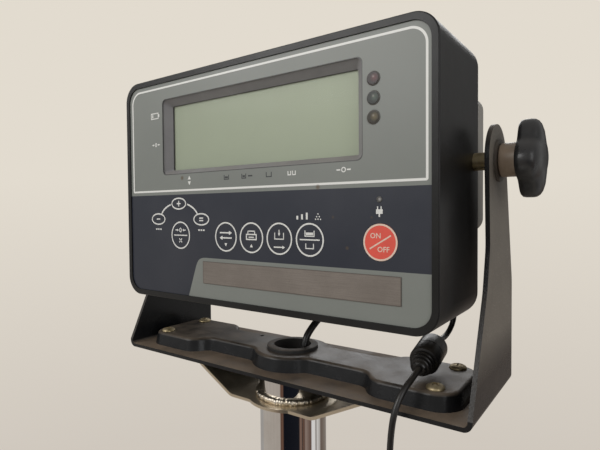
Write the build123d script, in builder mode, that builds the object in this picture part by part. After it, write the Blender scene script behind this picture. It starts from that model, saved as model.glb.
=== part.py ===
from build123d import *
import math
import os

os.makedirs("parts", exist_ok=True)

# Frame: millimetres, +Z up, X across, Y from front to back, the weighing platform in front and the
# column at the back. The origin is on the floor under the middle of the scale.

# Platform and base
pan_width = 400.0
pan_depth = 500.0
pan_sheet = 1.5
pan_skirt = 36.5
pan_corner = 10.0
support_gap = 2.5
support_sheet = 3.0
support_flange = 20.0
support_corner = 8.0
cushion_radius = 14.0
cushion_height = 6.0
cushion_stem = 4.0
cushion_inset = 34.0
cell_length = 150.0
cell_width = 40.0
cell_height = 36.0
cell_land = 2.0
cell_land_length = 42.0
cell_bore = 13.0
cell_bore_spread = 22.0
cell_slot = 6.0
bolt_radius = 4.0
bolt_head_radius = 6.5
bolt_head_height = 5.3
thread_gap = 0.05
base_inset = 20.0
base_clearance = 28.0
base_sheet = 3.0
base_flange = 30.0
base_corner = 6.0
foot_inset = 25.0
foot_pad_radius = 20.0
foot_pad_height = 12.0
foot_stud_radius = 5.0
foot_flange_radius = 11.0
foot_flange_height = 3.0
foot_hex = 14.0
foot_hex_height = 7.0
locknut_hex = 17.0
locknut_height = 8.0
stop_inset = 40.0
stop_gap = 0.8
stop_hex = 13.0
stop_hex_height = 5.0
tongue_width = 124.0
tongue_reach = 58.0
column_setback = 62.0
vial_radius = 8.0
vial_height = 6.0
vial_offset = 50.0

# Column
column_height = 626.0
tube_radius = 23.9
tube_wall = 1.5
tube_stub = 18.0
foot_disc_radius = 52.0
foot_disc_height = 6.0
sleeve_wall = 4.0
sleeve_height = 30.0
sleeve_gap = 0.05
foot_bolt_circle = 41.0
collar_width = 2.1
collar_height = 6.0
saddle_sheet = 2.0
saddle_flat_half = 35.0
saddle_flat_width = 57.0
saddle_arm_width = 49.0
saddle_belly_radius = 33.0
saddle_inset = 6.0
saddle_end_corner = 9.0
wing_angle = 26.3
saddle_drop = 21.0

# Yoke
yoke_side_gap = 10.5
yoke_sheet = 2.5
yoke_bend = 5.0
yoke_front = 39.0
yoke_back = 49.5
emboss_height = 9.5
emboss_taper = 14.0
lobe_inner = 68.0
lobe_inset = 10.0
lobe_half = 30.5
lobe_corner = 16.0
waist_half = 18.5
boss_radius = 30.0
emboss_fillet = 8.0
emboss_edge = 2.4
arm_top_radius = 20.5
arm_waist_y = 43.0
arm_waist_z = -38.0
arm_shoulder_z = -62.0
yoke_screw_inset = 15.1
yoke_screw_y = 20.2
yoke_screw_radius = 3.0
yoke_screw_head = 6.2
yoke_screw_head_height = 3.6
yoke_nut_hex = 10.0
yoke_nut_height = 5.0
grommet_bore = 13.4
grommet_flange = 18.4
grommet_neck = 15.4
grommet_lip = 2.5
drain_radius = 1.6
drain_x = -38.0
drain_y = 11.0

# Head
head_width = 250.0
head_height = 162.4
head_depth = 72.5
head_corner = 14.0
head_back_fillet = 6.0
head_front_fillet = 0.8
head_wall = 2.5
head_split = 36.0
head_above_yoke = 128.0
head_ahead_of_column = 48.5
rim_width = 4.1
rim_corner = 10.5
overlay_recess = 0.8
overlay_sheet = 0.8
overlay_gap = 0.1
panel_thickness = 3.0
pivot_from_front = 60.5
pivot_above_centre = 10.5
cover_half_width = 121.0
cover_top = 55.5
cover_bottom = -32.0
cover_depth = 26.7
cover_corner = 9.0
cover_edge = 5.0

# Display, lamps and keys, placed from the middle of the front of the head
window_left = -82.0
window_right = 82.4
window_bottom = 10.0
window_top = 64.6
window_corner = 3.5
frame_rim = 1.2
glass_left = -76.6
glass_right = 77.6
glass_bottom = 13.2
glass_top = 60.1
glass_corner = 1.0
window_recess = 4.6
window_sheet = 1.2
lcd_thickness = 5.0
lcd_margin = 3.0
lamp_x = 89.3
lamp_middle_z = 41.9
lamp_pitch = 10.15
lamp_radius = 3.8
lamp_gap = 0.1
lamp_dome = 0.7
lamp_stem = 2.5
charge_lamp_x = 92.5
charge_lamp_z = -11.6
charge_lamp_radius = 1.6
key_radius = 9.9
key_row_z = -34.2
key_row_start = 3.3
key_spacing = 2.6
key_gap = 0.15
key_cap = 1.6
key_proud = 0.1
key_stem = 2.0
key_play = 0.55
memory_key_long = 7.9
memory_key_short = 4.4
switch_size = 6.0
switch_height = 4.0
plate_left = -41.0
plate_right = 104.8
plate_bottom = -66.9
plate_top = -51.6
plate_sheet = 0.4
board_inset = 15.5
board_drop = 12.7
board_sheet = 1.6
boss_x = 96.0
boss_z = 58.0
post_radius = 3.5
screw_x = 112.0
screw_z = 68.0
screw_radius = 1.75
screw_head_radius = 3.6
screw_head_height = 2.4
screw_length = 52.0
screw_boss_radius = 5.0
battery_width = 101.0
battery_depth = 47.0
battery_height = 70.0
battery_gap = 0.3
battery_shelf = 3.0
cover_post_radius = 5.0
cover_screw_drop = 12.0
cover_screw_rise = 22.0
cover_screw_length = 34.0
pivot_boss_radius = 7.5
insert_radius = 5.2
insert_inner_length = 14.0
insert_gap = 0.15
stud_radius = 2.95
stud_gap = 0.15
stud_reach = 16.0
stud_edge = 0.6

# Clamp knobs
washer_radius = 12.0
washer_sheet = 1.5
washer_gap = 0.1
knob_hub_radius = 9.6
knob_hub_length = 10.0
knob_lobe_reach = 21.5
knob_lobe_radius = 8.2
knob_core_radius = 15.0
knob_head_thickness = 13.0
knob_edge = 3.5
knob_turn = 8.0

# Connectors under the rear cover, and their leads
gland_x = 25.0
gland_hex = 17.0
gland_hex_height = 5.0
gland_nut_radius = 7.4
gland_nut_height = 9.0
port_x = -60.0
port_width = 31.0
port_depth = 12.5
port_flange = 1.0
port_shell_width = 17.0
port_shell_depth = 8.4
port_shell_height = 5.5
socket_x = 107.0
socket_flange = 5.5
socket_flange_height = 1.0
socket_body = 4.6
socket_length = 9.0
socket_bore = 2.8
connector_y = 82.0
plug_body = 4.8
plug_length = 19.0
plug_relief_length = 15.0
plug_relief_radius = 3.4
plug_tip_length = 8.0
plug_tip_radius = 2.75
signal_cable_radius = 2.5
lead_radius = 1.75
ferrite_radius = 8.7
ferrite_bore_gap = 0.25
ferrite_taper = 8.0
adapter_width = 44.0
adapter_depth = 50.0
adapter_height = 30.0
adapter_edge = 4.0
adapter_relief_length = 16.0
adapter_relief_radius = 3.6
prong_width = 6.3
prong_thickness = 1.5
prong_length = 17.0
prong_spacing = 12.7
coil_x = 132.0
coil_y = 276.0
coil_turn_radius = 19.6
coil_columns = 3
coil_layers = 2

# Derived levels and places
overall_depth = pan_depth + column_setback + tongue_reach
pan_rear = pan_depth - overall_depth / 2
pan_middle = pan_rear - pan_depth / 2
column_y = pan_rear + column_setback
tongue_end = column_y + tongue_reach
base_top = base_clearance + base_flange
cell_body_low = base_top + cell_land
cell_body_high = cell_body_low + cell_height
support_under = cell_body_high + cell_land
support_top = support_under + support_sheet
pan_under = support_top + cushion_height
pan_top = pan_under + pan_sheet
tube_bottom = base_top + foot_disc_height
saddle_seat = tube_bottom + column_height
yoke_under = saddle_seat + saddle_drop
yoke_top = yoke_under + yoke_sheet
emboss_top = yoke_top + emboss_height
head_z = yoke_under + head_above_yoke
head_y = column_y - head_ahead_of_column
pivot_y = head_y + pivot_from_front
pivot_z = head_z + pivot_above_centre
panel_face = overlay_recess + overlay_sheet
panel_back = panel_face + panel_thickness
glass_front = panel_face + window_recess
board_front = glass_front + window_sheet + lcd_thickness
board_back = board_front + board_sheet
yoke_width = head_width + 2 * (yoke_side_gap + yoke_sheet)
arm_outer = yoke_width / 2
lobe_outer = arm_outer - lobe_inset
saddle_reach = lobe_outer - saddle_inset
yoke_screw_x = lobe_outer - yoke_screw_inset
key_pitch = 2 * key_radius + key_spacing
board_width = head_width - 2 * head_wall - 2 * board_inset
board_height = head_height - 2 * head_wall - 2 * board_drop
cover_back = head_depth + cover_depth


def front_plane(depth):
    """A plane that looks out of the front of the head, the given depth behind the front of its rim."""
    return Plane(origin=(0, head_y + depth, head_z), x_dir=(1, 0, 0), z_dir=(0, -1, 0))


def side_plane(x, outward):
    """A plane across the head's tilt axis at x, looking along the given side."""
    return Plane(origin=(x, pivot_y, pivot_z), x_dir=(0, 1, 0), z_dir=(outward, 0, 0))


def level(z, x=0.0, y=0.0):
    """A horizontal plane at height z."""
    return Plane(origin=(x, y, z), x_dir=(1, 0, 0), z_dir=(0, 0, 1))


def keep(piece, name):
    """Label a finished piece and write it."""
    piece.part.label = name
    export_step(piece.part, f"parts/{name}.step")


# Pan
with BuildPart() as pan:
    with BuildSketch(level(pan_top, 0, pan_middle)):
        RectangleRounded(pan_width, pan_depth, pan_corner)
    extrude(amount=-pan_skirt)
    fillet(pan.edges().group_by(Axis.Z)[-1], pan_sheet * 1.6)
    with BuildSketch(level(pan_under, 0, pan_middle)):
        RectangleRounded(pan_width - 2 * pan_sheet, pan_depth - 2 * pan_sheet, pan_corner - pan_sheet)
    extrude(amount=-pan_skirt, mode=Mode.SUBTRACT)
keep(pan, "pan")

# Pressed support under the pan, with the cushions' and the load cell's holes
support_width = pan_width - 2 * (pan_sheet + support_gap)
support_depth = pan_depth - 2 * (pan_sheet + support_gap)
cushion_x = support_width / 2 - cushion_inset
cushion_y = support_depth / 2 - cushion_inset
cell_bolt_y = cell_length / 2 - cell_land_length / 2
cell_bolt_half = cell_land_length / 4

with BuildPart() as pan_support:
    with BuildSketch(level(support_top, 0, pan_middle)):
        RectangleRounded(support_width, support_depth, support_corner)
    extrude(amount=-support_flange)
    with BuildSketch(level(support_under, 0, pan_middle)):
        RectangleRounded(
            support_width - 2 * support_sheet,
            support_depth - 2 * support_sheet,
            support_corner - support_sheet,
        )
    extrude(amount=-support_flange, mode=Mode.SUBTRACT)
    with BuildSketch(level(support_top, 0, pan_middle)):
        with GridLocations(2 * cushion_x, 2 * cushion_y, 2, 2):
            Circle(cushion_stem + thread_gap)
        with Locations((0, cell_bolt_y)):
            with GridLocations(0, 2 * cell_bolt_half, 1, 2):
                Circle(bolt_radius)
    extrude(amount=-support_sheet, mode=Mode.SUBTRACT)
keep(pan_support, "pan_support")

with BuildPart() as pan_cushions:
    with BuildSketch(level(support_top, 0, pan_middle)):
        with GridLocations(2 * cushion_x, 2 * cushion_y, 2, 2):
            Circle(cushion_radius)
    extrude(amount=cushion_height)
    fillet(pan_cushions.edges().group_by(Axis.Z)[-1], cushion_height / 4)
    with BuildSketch(level(support_top, 0, pan_middle)):
        with GridLocations(2 * cushion_x, 2 * cushion_y, 2, 2):
            Circle(cushion_stem)
    extrude(amount=-2 * support_sheet)
keep(pan_cushions, "pan_cushions")

# Load cell: a block with two joined bores, on raised lands at its ends
with BuildPart() as load_cell:
    with BuildSketch(level(cell_body_low, 0, pan_middle)):
        Rectangle(cell_width, cell_length)
    extrude(amount=cell_height)
    with BuildSketch(level(base_top, 0, pan_middle - cell_bolt_y)):
        Rectangle(cell_width, cell_land_length)
    extrude(amount=cell_land)
    with BuildSketch(level(cell_body_high, 0, pan_middle + cell_bolt_y)):
        Rectangle(cell_width, cell_land_length)
    extrude(amount=cell_land)
    with BuildSketch(level(base_top, 0, pan_middle)):
        for side in (-1, 1):
            with Locations((0, side * cell_bolt_y)):
                with GridLocations(0, 2 * cell_bolt_half, 1, 2):
                    Circle(bolt_radius)
    extrude(amount=cell_height + 2 * cell_land, mode=Mode.SUBTRACT)
    with BuildSketch(Plane(origin=(cell_width / 2, pan_middle, cell_body_low + cell_height / 2),
                           x_dir=(0, 1, 0), z_dir=(1, 0, 0))):
        with GridLocations(2 * cell_bore_spread, 0, 2, 1):
            Circle(cell_bore)
        Rectangle(2 * cell_bore_spread, cell_slot)
    extrude(amount=-cell_width, mode=Mode.SUBTRACT)
keep(load_cell, "load_cell")

# Its bolts, up through the base at the front end and down through the support at the rear end
cell_bolt_length = cell_height * 0.8
with BuildPart() as load_cell_bolts:
    for side, head_face, inward in ((-1, base_top - base_sheet, 1), (1, support_top, -1)):
        with BuildSketch(level(head_face, 0, pan_middle + side * cell_bolt_y)):
            with GridLocations(0, 2 * cell_bolt_half, 1, 2):
                Circle(bolt_radius - thread_gap)
        extrude(amount=inward * cell_bolt_length)
        with BuildSketch(level(head_face, 0, pan_middle + side * cell_bolt_y)):
            with GridLocations(0, 2 * cell_bolt_half, 1, 2):
                Circle(bolt_head_radius)
        extrude(amount=-inward * bolt_head_height)
keep(load_cell_bolts, "load_cell_bolts")

# Pressed base with a tongue that carries the column
base_width = pan_width - 2 * base_inset
base_depth = pan_depth - 2 * base_inset
base_rear = pan_rear - base_inset
foot_x = base_width / 2 - foot_inset
foot_y = base_depth / 2 - foot_inset
stop_x = base_width / 2 - stop_inset
stop_y = foot_y - stop_inset
tongue_overlap = 2 * base_corner
tongue_length = tongue_end - base_rear + tongue_overlap
tongue_middle = tongue_end - tongue_length / 2
cable_slot_y = 94.0
cable_slot_x = 34.0
cable_slot_width = 12.0
cable_slot_length = 64.0
cable_hole = 15.0

with BuildPart() as base_frame:
    with BuildSketch(level(base_top)):
        with Locations((0, pan_middle)):
            RectangleRounded(base_width, base_depth, base_corner)
        with Locations((0, tongue_middle)):
            RectangleRounded(tongue_width, tongue_length, base_corner)
    extrude(amount=-base_flange)
    fillet(base_frame.edges().group_by(Axis.Z)[-1], base_sheet * 0.8)
    with BuildSketch(level(base_top - base_sheet)):
        with Locations((0, pan_middle)):
            RectangleRounded(
                base_width - 2 * base_sheet, base_depth - 2 * base_sheet, base_corner - base_sheet
            )
        with Locations((0, tongue_middle)):
            RectangleRounded(
                tongue_width - 2 * base_sheet, tongue_length - 2 * base_sheet, base_corner - base_sheet
            )
    extrude(amount=-base_flange, mode=Mode.SUBTRACT)
    with BuildSketch(level(base_top)):
        with Locations((0, pan_middle)):
            with GridLocations(2 * foot_x, 2 * foot_y, 2, 2):
                Circle(foot_stud_radius + thread_gap)
            with GridLocations(2 * stop_x, 2 * stop_y, 2, 2):
                Circle(bolt_radius + thread_gap)
        with Locations((0, pan_middle - cell_bolt_y)):
            with GridLocations(0, 2 * cell_bolt_half, 1, 2):
                Circle(bolt_radius)
        with Locations((0, column_y)):
            Circle(cable_hole)
            with PolarLocations(foot_bolt_circle, 4, start_angle=45):
                Circle(bolt_radius + thread_gap)
        with Locations((cable_slot_x, cable_slot_y)):
            SlotOverall(cable_slot_length, cable_slot_width, rotation=90)
    extrude(amount=-base_sheet, mode=Mode.SUBTRACT)
keep(base_frame, "base_frame")

with BuildPart() as overload_stops:
    with BuildSketch(level(base_top - base_sheet, 0, pan_middle)):
        with GridLocations(2 * stop_x, 2 * stop_y, 2, 2):
            Circle(bolt_radius)
    extrude(amount=support_under - stop_gap - base_top + base_sheet)
    for face, height in ((base_top, stop_hex_height), (base_top - base_sheet, -bolt_head_height)):
        with BuildSketch(level(face, 0, pan_middle)):
            with GridLocations(2 * stop_x, 2 * stop_y, 2, 2):
                RegularPolygon(stop_hex / 2, 6, major_radius=False)
        extrude(amount=height)
keep(overload_stops, "overload_stops")

# Levelling feet: a rubber pad moulded round the flange of a threaded stud
foot_places = {
    "foot_front_left": (-foot_x, pan_middle - foot_y),
    "foot_front_right": (foot_x, pan_middle - foot_y),
    "foot_rear_left": (-foot_x, pan_middle + foot_y),
    "foot_rear_right": (foot_x, pan_middle + foot_y),
}
for foot_name, (x, y) in foot_places.items():
    with BuildPart() as foot:
        with BuildSketch(level(0, x, y)):
            Circle(foot_pad_radius)
        extrude(amount=foot_pad_height)
        fillet(foot.edges().group_by(Axis.Z)[-1], foot_pad_height / 3)
        chamfer(foot.edges().group_by(Axis.Z)[0], foot_pad_height / 10)
        with BuildSketch(level(foot_pad_height, x, y)):
            Circle(foot_flange_radius)
        extrude(amount=foot_flange_height)
        with BuildSketch(level(foot_pad_height + foot_flange_height, x, y)):
            RegularPolygon(foot_hex / 2, 6, major_radius=False)
        extrude(amount=foot_hex_height)
        with BuildSketch(level(foot_pad_height, x, y)):
            Circle(foot_stud_radius)
        extrude(amount=base_top - foot_pad_height)
    keep(foot, foot_name)

with BuildPart() as foot_locknuts:
    with BuildSketch(level(base_top - base_sheet, 0, pan_middle)):
        with GridLocations(2 * foot_x, 2 * foot_y, 2, 2):
            RegularPolygon(locknut_hex / 2, 6, major_radius=False)
            Circle(foot_stud_radius + thread_gap, mode=Mode.SUBTRACT)
    extrude(amount=-locknut_height)
keep(foot_locknuts, "foot_locknuts")

# Round level on the tongue, beside the column
with BuildPart() as level_vial:
    vial_x = -tongue_width / 2 + vial_radius + base_corner / 2
    with BuildSketch(level(base_top, vial_x, column_y - vial_offset)):
        Circle(vial_radius)
    extrude(amount=vial_height)
    fillet(level_vial.edges().group_by(Axis.Z)[-1], vial_height / 5)
keep(level_vial, "level_vial")

# Column foot: a disc with a sleeve round the tube
sleeve_inner = tube_radius + sleeve_gap
with BuildPart() as column_foot:
    with BuildSketch(level(base_top, 0, column_y)):
        Circle(foot_disc_radius)
        Circle(cable_hole, mode=Mode.SUBTRACT)
        with PolarLocations(foot_bolt_circle, 4, start_angle=45):
            Circle(bolt_radius + thread_gap, mode=Mode.SUBTRACT)
    extrude(amount=foot_disc_height)
    with BuildSketch(level(tube_bottom, 0, column_y)):
        Circle(sleeve_inner + sleeve_wall)
        Circle(sleeve_inner, mode=Mode.SUBTRACT)
    extrude(amount=sleeve_height)
    fillet(column_foot.edges().filter_by(GeomType.CIRCLE).group_by(Axis.Z)[-1].sort_by(SortBy.RADIUS)[-1],
           sleeve_wall / 3)
keep(column_foot, "column_foot")

with BuildPart() as column_bolts:
    for face, height, radius in (
        (tube_bottom, bolt_head_height, bolt_head_radius),
        (tube_bottom, -foot_disc_height - base_sheet - 2 * bolt_head_height, bolt_radius),
        (base_top - base_sheet, -bolt_head_height, bolt_head_radius),
    ):
        with BuildSketch(level(face, 0, column_y)):
            with PolarLocations(foot_bolt_circle, 4, start_angle=45):
                Circle(radius)
        extrude(amount=height)
keep(column_bolts, "column_bolts")

# Column tube, its stub standing through the saddle inside a welded ring
with BuildPart() as column_tube:
    with BuildSketch(level(tube_bottom, 0, column_y)):
        Circle(tube_radius)
        Circle(tube_radius - tube_wall, mode=Mode.SUBTRACT)
    extrude(amount=column_height + tube_stub)
keep(column_tube, "column_tube")

with BuildPart() as column_collar:
    with BuildSketch(level(saddle_seat, 0, column_y)):
        Circle(tube_radius + collar_width)
        Circle(tube_radius, mode=Mode.SUBTRACT)
    extrude(amount=collar_height)
    fillet(column_collar.edges().group_by(Axis.Z)[-1].sort_by(SortBy.RADIUS)[-1], collar_width / 2)
keep(column_collar, "column_collar")

# Saddle: a bent strip under the yoke, its ends inside the hollow of the yoke's raised lobes
flange_face = emboss_top - yoke_sheet
wing_rise = flange_face - saddle_seat
wing_tilt = math.radians(wing_angle)
wing_end = saddle_flat_half + wing_rise / math.tan(wing_tilt)
mitre = saddle_sheet * math.tan(wing_tilt / 2)
bend_radius = 6 * saddle_sheet


def saddle_line(z_drop, shift):
    """The saddle's bent line from end to end, lowered by its sheet for the lower face."""
    half = [
        (saddle_flat_half + shift, saddle_seat - z_drop),
        (wing_end + shift, flange_face - z_drop),
        (saddle_reach, flange_face - z_drop),
    ]
    return [(-x, z) for x, z in reversed(half)] + half


with BuildPart() as column_saddle:
    strip_plane = Plane(origin=(0, column_y + saddle_belly_radius, 0), x_dir=(1, 0, 0), z_dir=(0, -1, 0))
    with BuildSketch(strip_plane) as strip:
        with BuildLine():
            Polyline(*saddle_line(0, 0), *reversed(saddle_line(saddle_sheet, mitre)), close=True)
        make_face()
        fillet(strip.vertices().filter_by(lambda v: abs(v.X) < saddle_reach - 1), bend_radius)
    extrude(amount=2 * saddle_belly_radius)
    with BuildSketch(level(saddle_seat - 2 * saddle_sheet, 0, column_y)) as plan:
        with BuildLine():
            Polyline(
                (-saddle_reach, saddle_arm_width / 2),
                (-wing_end, saddle_arm_width / 2),
                (-saddle_flat_half, saddle_flat_width / 2),
                (saddle_flat_half, saddle_flat_width / 2),
                (wing_end, saddle_arm_width / 2),
                (saddle_reach, saddle_arm_width / 2),
                (saddle_reach, -saddle_arm_width / 2),
                (wing_end, -saddle_arm_width / 2),
                (saddle_flat_half, -saddle_flat_width / 2),
                (-saddle_flat_half, -saddle_flat_width / 2),
                (-wing_end, -saddle_arm_width / 2),
                (-saddle_reach, -saddle_arm_width / 2),
                close=True,
            )
        make_face()
        fillet(plan.vertices().filter_by(lambda v: abs(v.X) > saddle_reach - 1), saddle_end_corner)
        Circle(saddle_belly_radius)
        Circle(tube_radius + sleeve_gap, mode=Mode.SUBTRACT)
        with GridLocations(2 * yoke_screw_x, 2 * yoke_screw_y, 2, 2):
            Circle(yoke_screw_radius + thread_gap, mode=Mode.SUBTRACT)
    extrude(amount=wing_rise + 4 * saddle_sheet, mode=Mode.INTERSECT)
keep(column_saddle, "column_saddle")

# Yoke: a U of sheet steel with a raised, hollow dog-bone pressed into its floor
yoke_front_y = column_y - yoke_front
yoke_back_y = column_y + yoke_back
yoke_depth = yoke_front + yoke_back
yoke_height = pivot_z + arm_top_radius - yoke_under
front_edge = yoke_front_y - pivot_y
back_edge = yoke_back_y - pivot_y
low_edge = yoke_under - pivot_z
waist_front = arm_waist_y - pivot_from_front
shoulder_z = arm_shoulder_z - pivot_above_centre
waist_z = arm_waist_z - pivot_above_centre
shoulder_front = waist_front - (waist_z - shoulder_z) / 4
arm_curve = 30.0
arm_toe = 6.0


def dog_bone(grow):
    """The outline of the raised part of the yoke's floor, grown or shrunk all round."""
    lobe_middle = (lobe_inner + lobe_outer) / 2
    with BuildSketch(Plane.XY) as outline:
        with GridLocations(2 * lobe_middle, 0, 2, 1):
            RectangleRounded(lobe_outer - lobe_inner + 2 * grow, 2 * (lobe_half + grow), lobe_corner + grow)
        Rectangle(2 * lobe_inner + lobe_corner, 2 * (waist_half + grow))
        Circle(boss_radius + grow)
        corners = outline.vertices().filter_by(lambda v: abs(abs(v.Y) - waist_half - grow) < 0.01)
        fillet(corners, emboss_fillet - grow)
    return outline.sketch


bone_outside = dog_bone(0)
bone_inside = dog_bone(-yoke_sheet)

with BuildPart() as yoke_bracket:
    with BuildSketch(Plane(origin=(0, yoke_back_y, yoke_under), x_dir=(1, 0, 0), z_dir=(0, -1, 0))) as bent:
        Rectangle(yoke_width, yoke_height, align=(Align.CENTER, Align.MIN))
        fillet(bent.vertices().group_by(Axis.Y)[0], yoke_bend)
    extrude(amount=yoke_depth)
    with BuildSketch(Plane(origin=(0, yoke_back_y, yoke_top), x_dir=(1, 0, 0), z_dir=(0, -1, 0))) as hollow:
        Rectangle(yoke_width - 2 * yoke_sheet, yoke_height, align=(Align.CENTER, Align.MIN))
        fillet(hollow.vertices().group_by(Axis.Y)[0], yoke_bend - yoke_sheet)
    extrude(amount=yoke_depth, mode=Mode.SUBTRACT)
    with BuildSketch(level(yoke_under, 0, column_y)):
        add(bone_outside)
    extrude(amount=emboss_top - yoke_under, taper=emboss_taper)
    fillet(yoke_bracket.edges().filter_by(lambda e: abs(e.center().Z - emboss_top) < 0.01), emboss_edge)
    with BuildSketch(side_plane(-arm_outer, 1)) as side_view:
        with BuildLine():
            front_side = Polyline(
                (back_edge, low_edge),
                (front_edge, low_edge),
                (front_edge, low_edge + arm_toe),
                (shoulder_front, shoulder_z),
                (waist_front, waist_z),
                (-arm_top_radius, 0),
            )
            top_side = ThreePointArc(front_side @ 1, (0, arm_top_radius), (arm_top_radius, 0))
            Polyline(top_side @ 1, (back_edge, shoulder_z), (back_edge, low_edge))
        make_face()
        bends = side_view.vertices().filter_by(lambda v: shoulder_z - 1 < v.Y < -1)
        fillet(bends, arm_curve)
    extrude(amount=yoke_width, mode=Mode.INTERSECT)
    with BuildSketch(level(yoke_under, 0, column_y)):
        add(bone_inside)
    extrude(amount=flange_face - yoke_under, taper=emboss_taper, mode=Mode.SUBTRACT)
    with BuildSketch(level(emboss_top, 0, column_y)):
        Circle(grommet_neck + overlay_gap)
        with GridLocations(2 * yoke_screw_x, 2 * yoke_screw_y, 2, 2):
            Circle(yoke_screw_radius + thread_gap)
        with Locations((drain_x, drain_y)):
            Circle(drain_radius)
    extrude(amount=-yoke_sheet, mode=Mode.SUBTRACT)
    with BuildSketch(side_plane(-arm_outer, 1)):
        Circle(stud_radius + stud_gap)
    extrude(amount=yoke_width, mode=Mode.SUBTRACT)
keep(yoke_bracket, "yoke_bracket")

with BuildPart() as yoke_grommet:
    for face, height, radius in (
        (emboss_top, grommet_lip, grommet_flange),
        (emboss_top, -yoke_sheet, grommet_neck),
        (flange_face, -grommet_lip, grommet_flange),
    ):
        with BuildSketch(level(face, 0, column_y)):
            Circle(radius)
        extrude(amount=height)
    fillet(yoke_grommet.edges().group_by(Axis.Z)[-1], grommet_lip / 3)
    with BuildSketch(level(emboss_top + grommet_lip, 0, column_y)):
        Circle(grommet_bore)
    extrude(amount=-yoke_sheet - 2 * grommet_lip, mode=Mode.SUBTRACT)
keep(yoke_grommet, "yoke_grommet")

nut_face = flange_face - saddle_sheet
with BuildPart() as yoke_screws:
    with BuildSketch(level(emboss_top, 0, column_y)):
        with GridLocations(2 * yoke_screw_x, 2 * yoke_screw_y, 2, 2):
            Circle(yoke_screw_head)
    extrude(amount=yoke_screw_head_height)
    fillet(yoke_screws.edges().group_by(Axis.Z)[-1], yoke_screw_head_height * 0.6)
    with BuildSketch(level(emboss_top, 0, column_y)):
        with GridLocations(2 * yoke_screw_x, 2 * yoke_screw_y, 2, 2):
            Circle(yoke_screw_radius)
    extrude(amount=nut_face - 1.5 * yoke_nut_height - emboss_top)
keep(yoke_screws, "yoke_screws")

with BuildPart() as yoke_nuts:
    with BuildSketch(level(nut_face, 0, column_y)):
        with GridLocations(2 * yoke_screw_x, 2 * yoke_screw_y, 2, 2):
            RegularPolygon(yoke_nut_hex / 2, 6, major_radius=False)
            Circle(yoke_screw_radius, mode=Mode.SUBTRACT)
    extrude(amount=-yoke_nut_height)
keep(yoke_nuts, "yoke_nuts")

# Clamp knobs, the washers under them, and the studs that they screw on to
with BuildPart() as knob_washers:
    for side in (-1, 1):
        with BuildSketch(side_plane(side * arm_outer, side)):
            Circle(washer_radius)
            Circle(stud_radius + stud_gap, mode=Mode.SUBTRACT)
        extrude(amount=washer_sheet)
keep(knob_washers, "knob_washers")

hub_start = arm_outer + washer_sheet + washer_gap
hub_end = hub_start + knob_hub_length
for knob_name, side in (("knob_left", -1), ("knob_right", 1)):
    with BuildPart() as knob:
        with BuildSketch(side_plane(side * hub_end, side)):
            Circle(knob_core_radius)
            with PolarLocations(knob_lobe_reach - knob_lobe_radius, 4, start_angle=knob_turn):
                Circle(knob_lobe_radius)
        extrude(amount=knob_head_thickness)
        fillet(knob.edges().filter_by(lambda e: abs(e.center().X) > hub_end + 1), knob_edge)
        with BuildSketch(side_plane(side * hub_start, side)):
            Circle(knob_hub_radius)
        extrude(amount=knob_hub_length)
        with BuildSketch(side_plane(side * hub_start, side)):
            Circle(stud_radius + thread_gap)
        extrude(amount=stud_reach + stud_edge, mode=Mode.SUBTRACT)
    keep(knob, knob_name)

stud_root = arm_outer - yoke_sheet - insert_gap
with BuildPart() as pivot_studs:
    for side in (-1, 1):
        with BuildSketch(side_plane(side * (head_width / 2 - insert_inner_length), side)):
            Circle(insert_radius)
        extrude(amount=stud_root - head_width / 2 + insert_inner_length)
        with BuildSketch(side_plane(side * stud_root, side)):
            Circle(stud_radius)
        extrude(amount=hub_start + stud_reach - stud_root)
    stud_end = hub_start + stud_reach
    chamfer(pivot_studs.edges().filter_by(lambda e: abs(e.center().X) > stud_end - stud_edge), stud_edge)
keep(pivot_studs, "pivot_studs")


def opening(left, right, bottom, top, grow, corner):
    """A rounded rectangle between four edges, grown all round."""
    with BuildSketch(Plane.XY) as outline:
        with Locations(((left + right) / 2, (bottom + top) / 2)):
            RectangleRounded(right - left + 2 * grow, top - bottom + 2 * grow, corner)
    return outline.sketch


window = (window_left, window_right, window_bottom, window_top)
glass = (glass_left, glass_right, glass_bottom, glass_top)
window_mouth = opening(*window, 0, window_corner)
frame_outline = opening(*window, frame_rim, window_corner + frame_rim)
frame_hole = opening(*window, frame_rim + overlay_gap, window_corner + frame_rim)
frame_flange = opening(*window, 2 * frame_rim, window_corner)
glass_outline = opening(*glass, 0, glass_corner)
module_outline = opening(*glass, lcd_margin, glass_corner)
lamp_places = {
    "lamp_high": (lamp_x, lamp_middle_z + lamp_pitch),
    "lamp_ok": (lamp_x, lamp_middle_z),
    "lamp_low": (lamp_x, lamp_middle_z - lamp_pitch),
}
key_places = {
    "key_zero": (key_row_start - 3 * key_pitch, key_row_z),
    "key_unit": (key_row_start - key_pitch, key_row_z),
    "key_print": (key_row_start, key_row_z),
    "key_tare": (key_row_start + key_pitch, key_row_z),
    "key_gross_net": (key_row_start + 2 * key_pitch, key_row_z),
    "key_on_off": (key_row_start + 4 * key_pitch, key_row_z),
}
memory_places = {
    "key_memory_add": (-65.5, -11.5),
    "key_memory_subtract": (-88.3, -22.7),
    "key_memory_recall": (-42.4, -22.7),
}
screw_places = [(x, z) for x in (-screw_x, screw_x) for z in (-screw_z, screw_z)]
boss_places = [(x, z) for x in (-boss_x, boss_x) for z in (-boss_z, boss_z)]
cover_screw_levels = (cover_bottom + cover_screw_rise, cover_top - cover_screw_drop)
cover_screw_places = [(x, z) for x in (-screw_x, screw_x) for z in cover_screw_levels]

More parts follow.
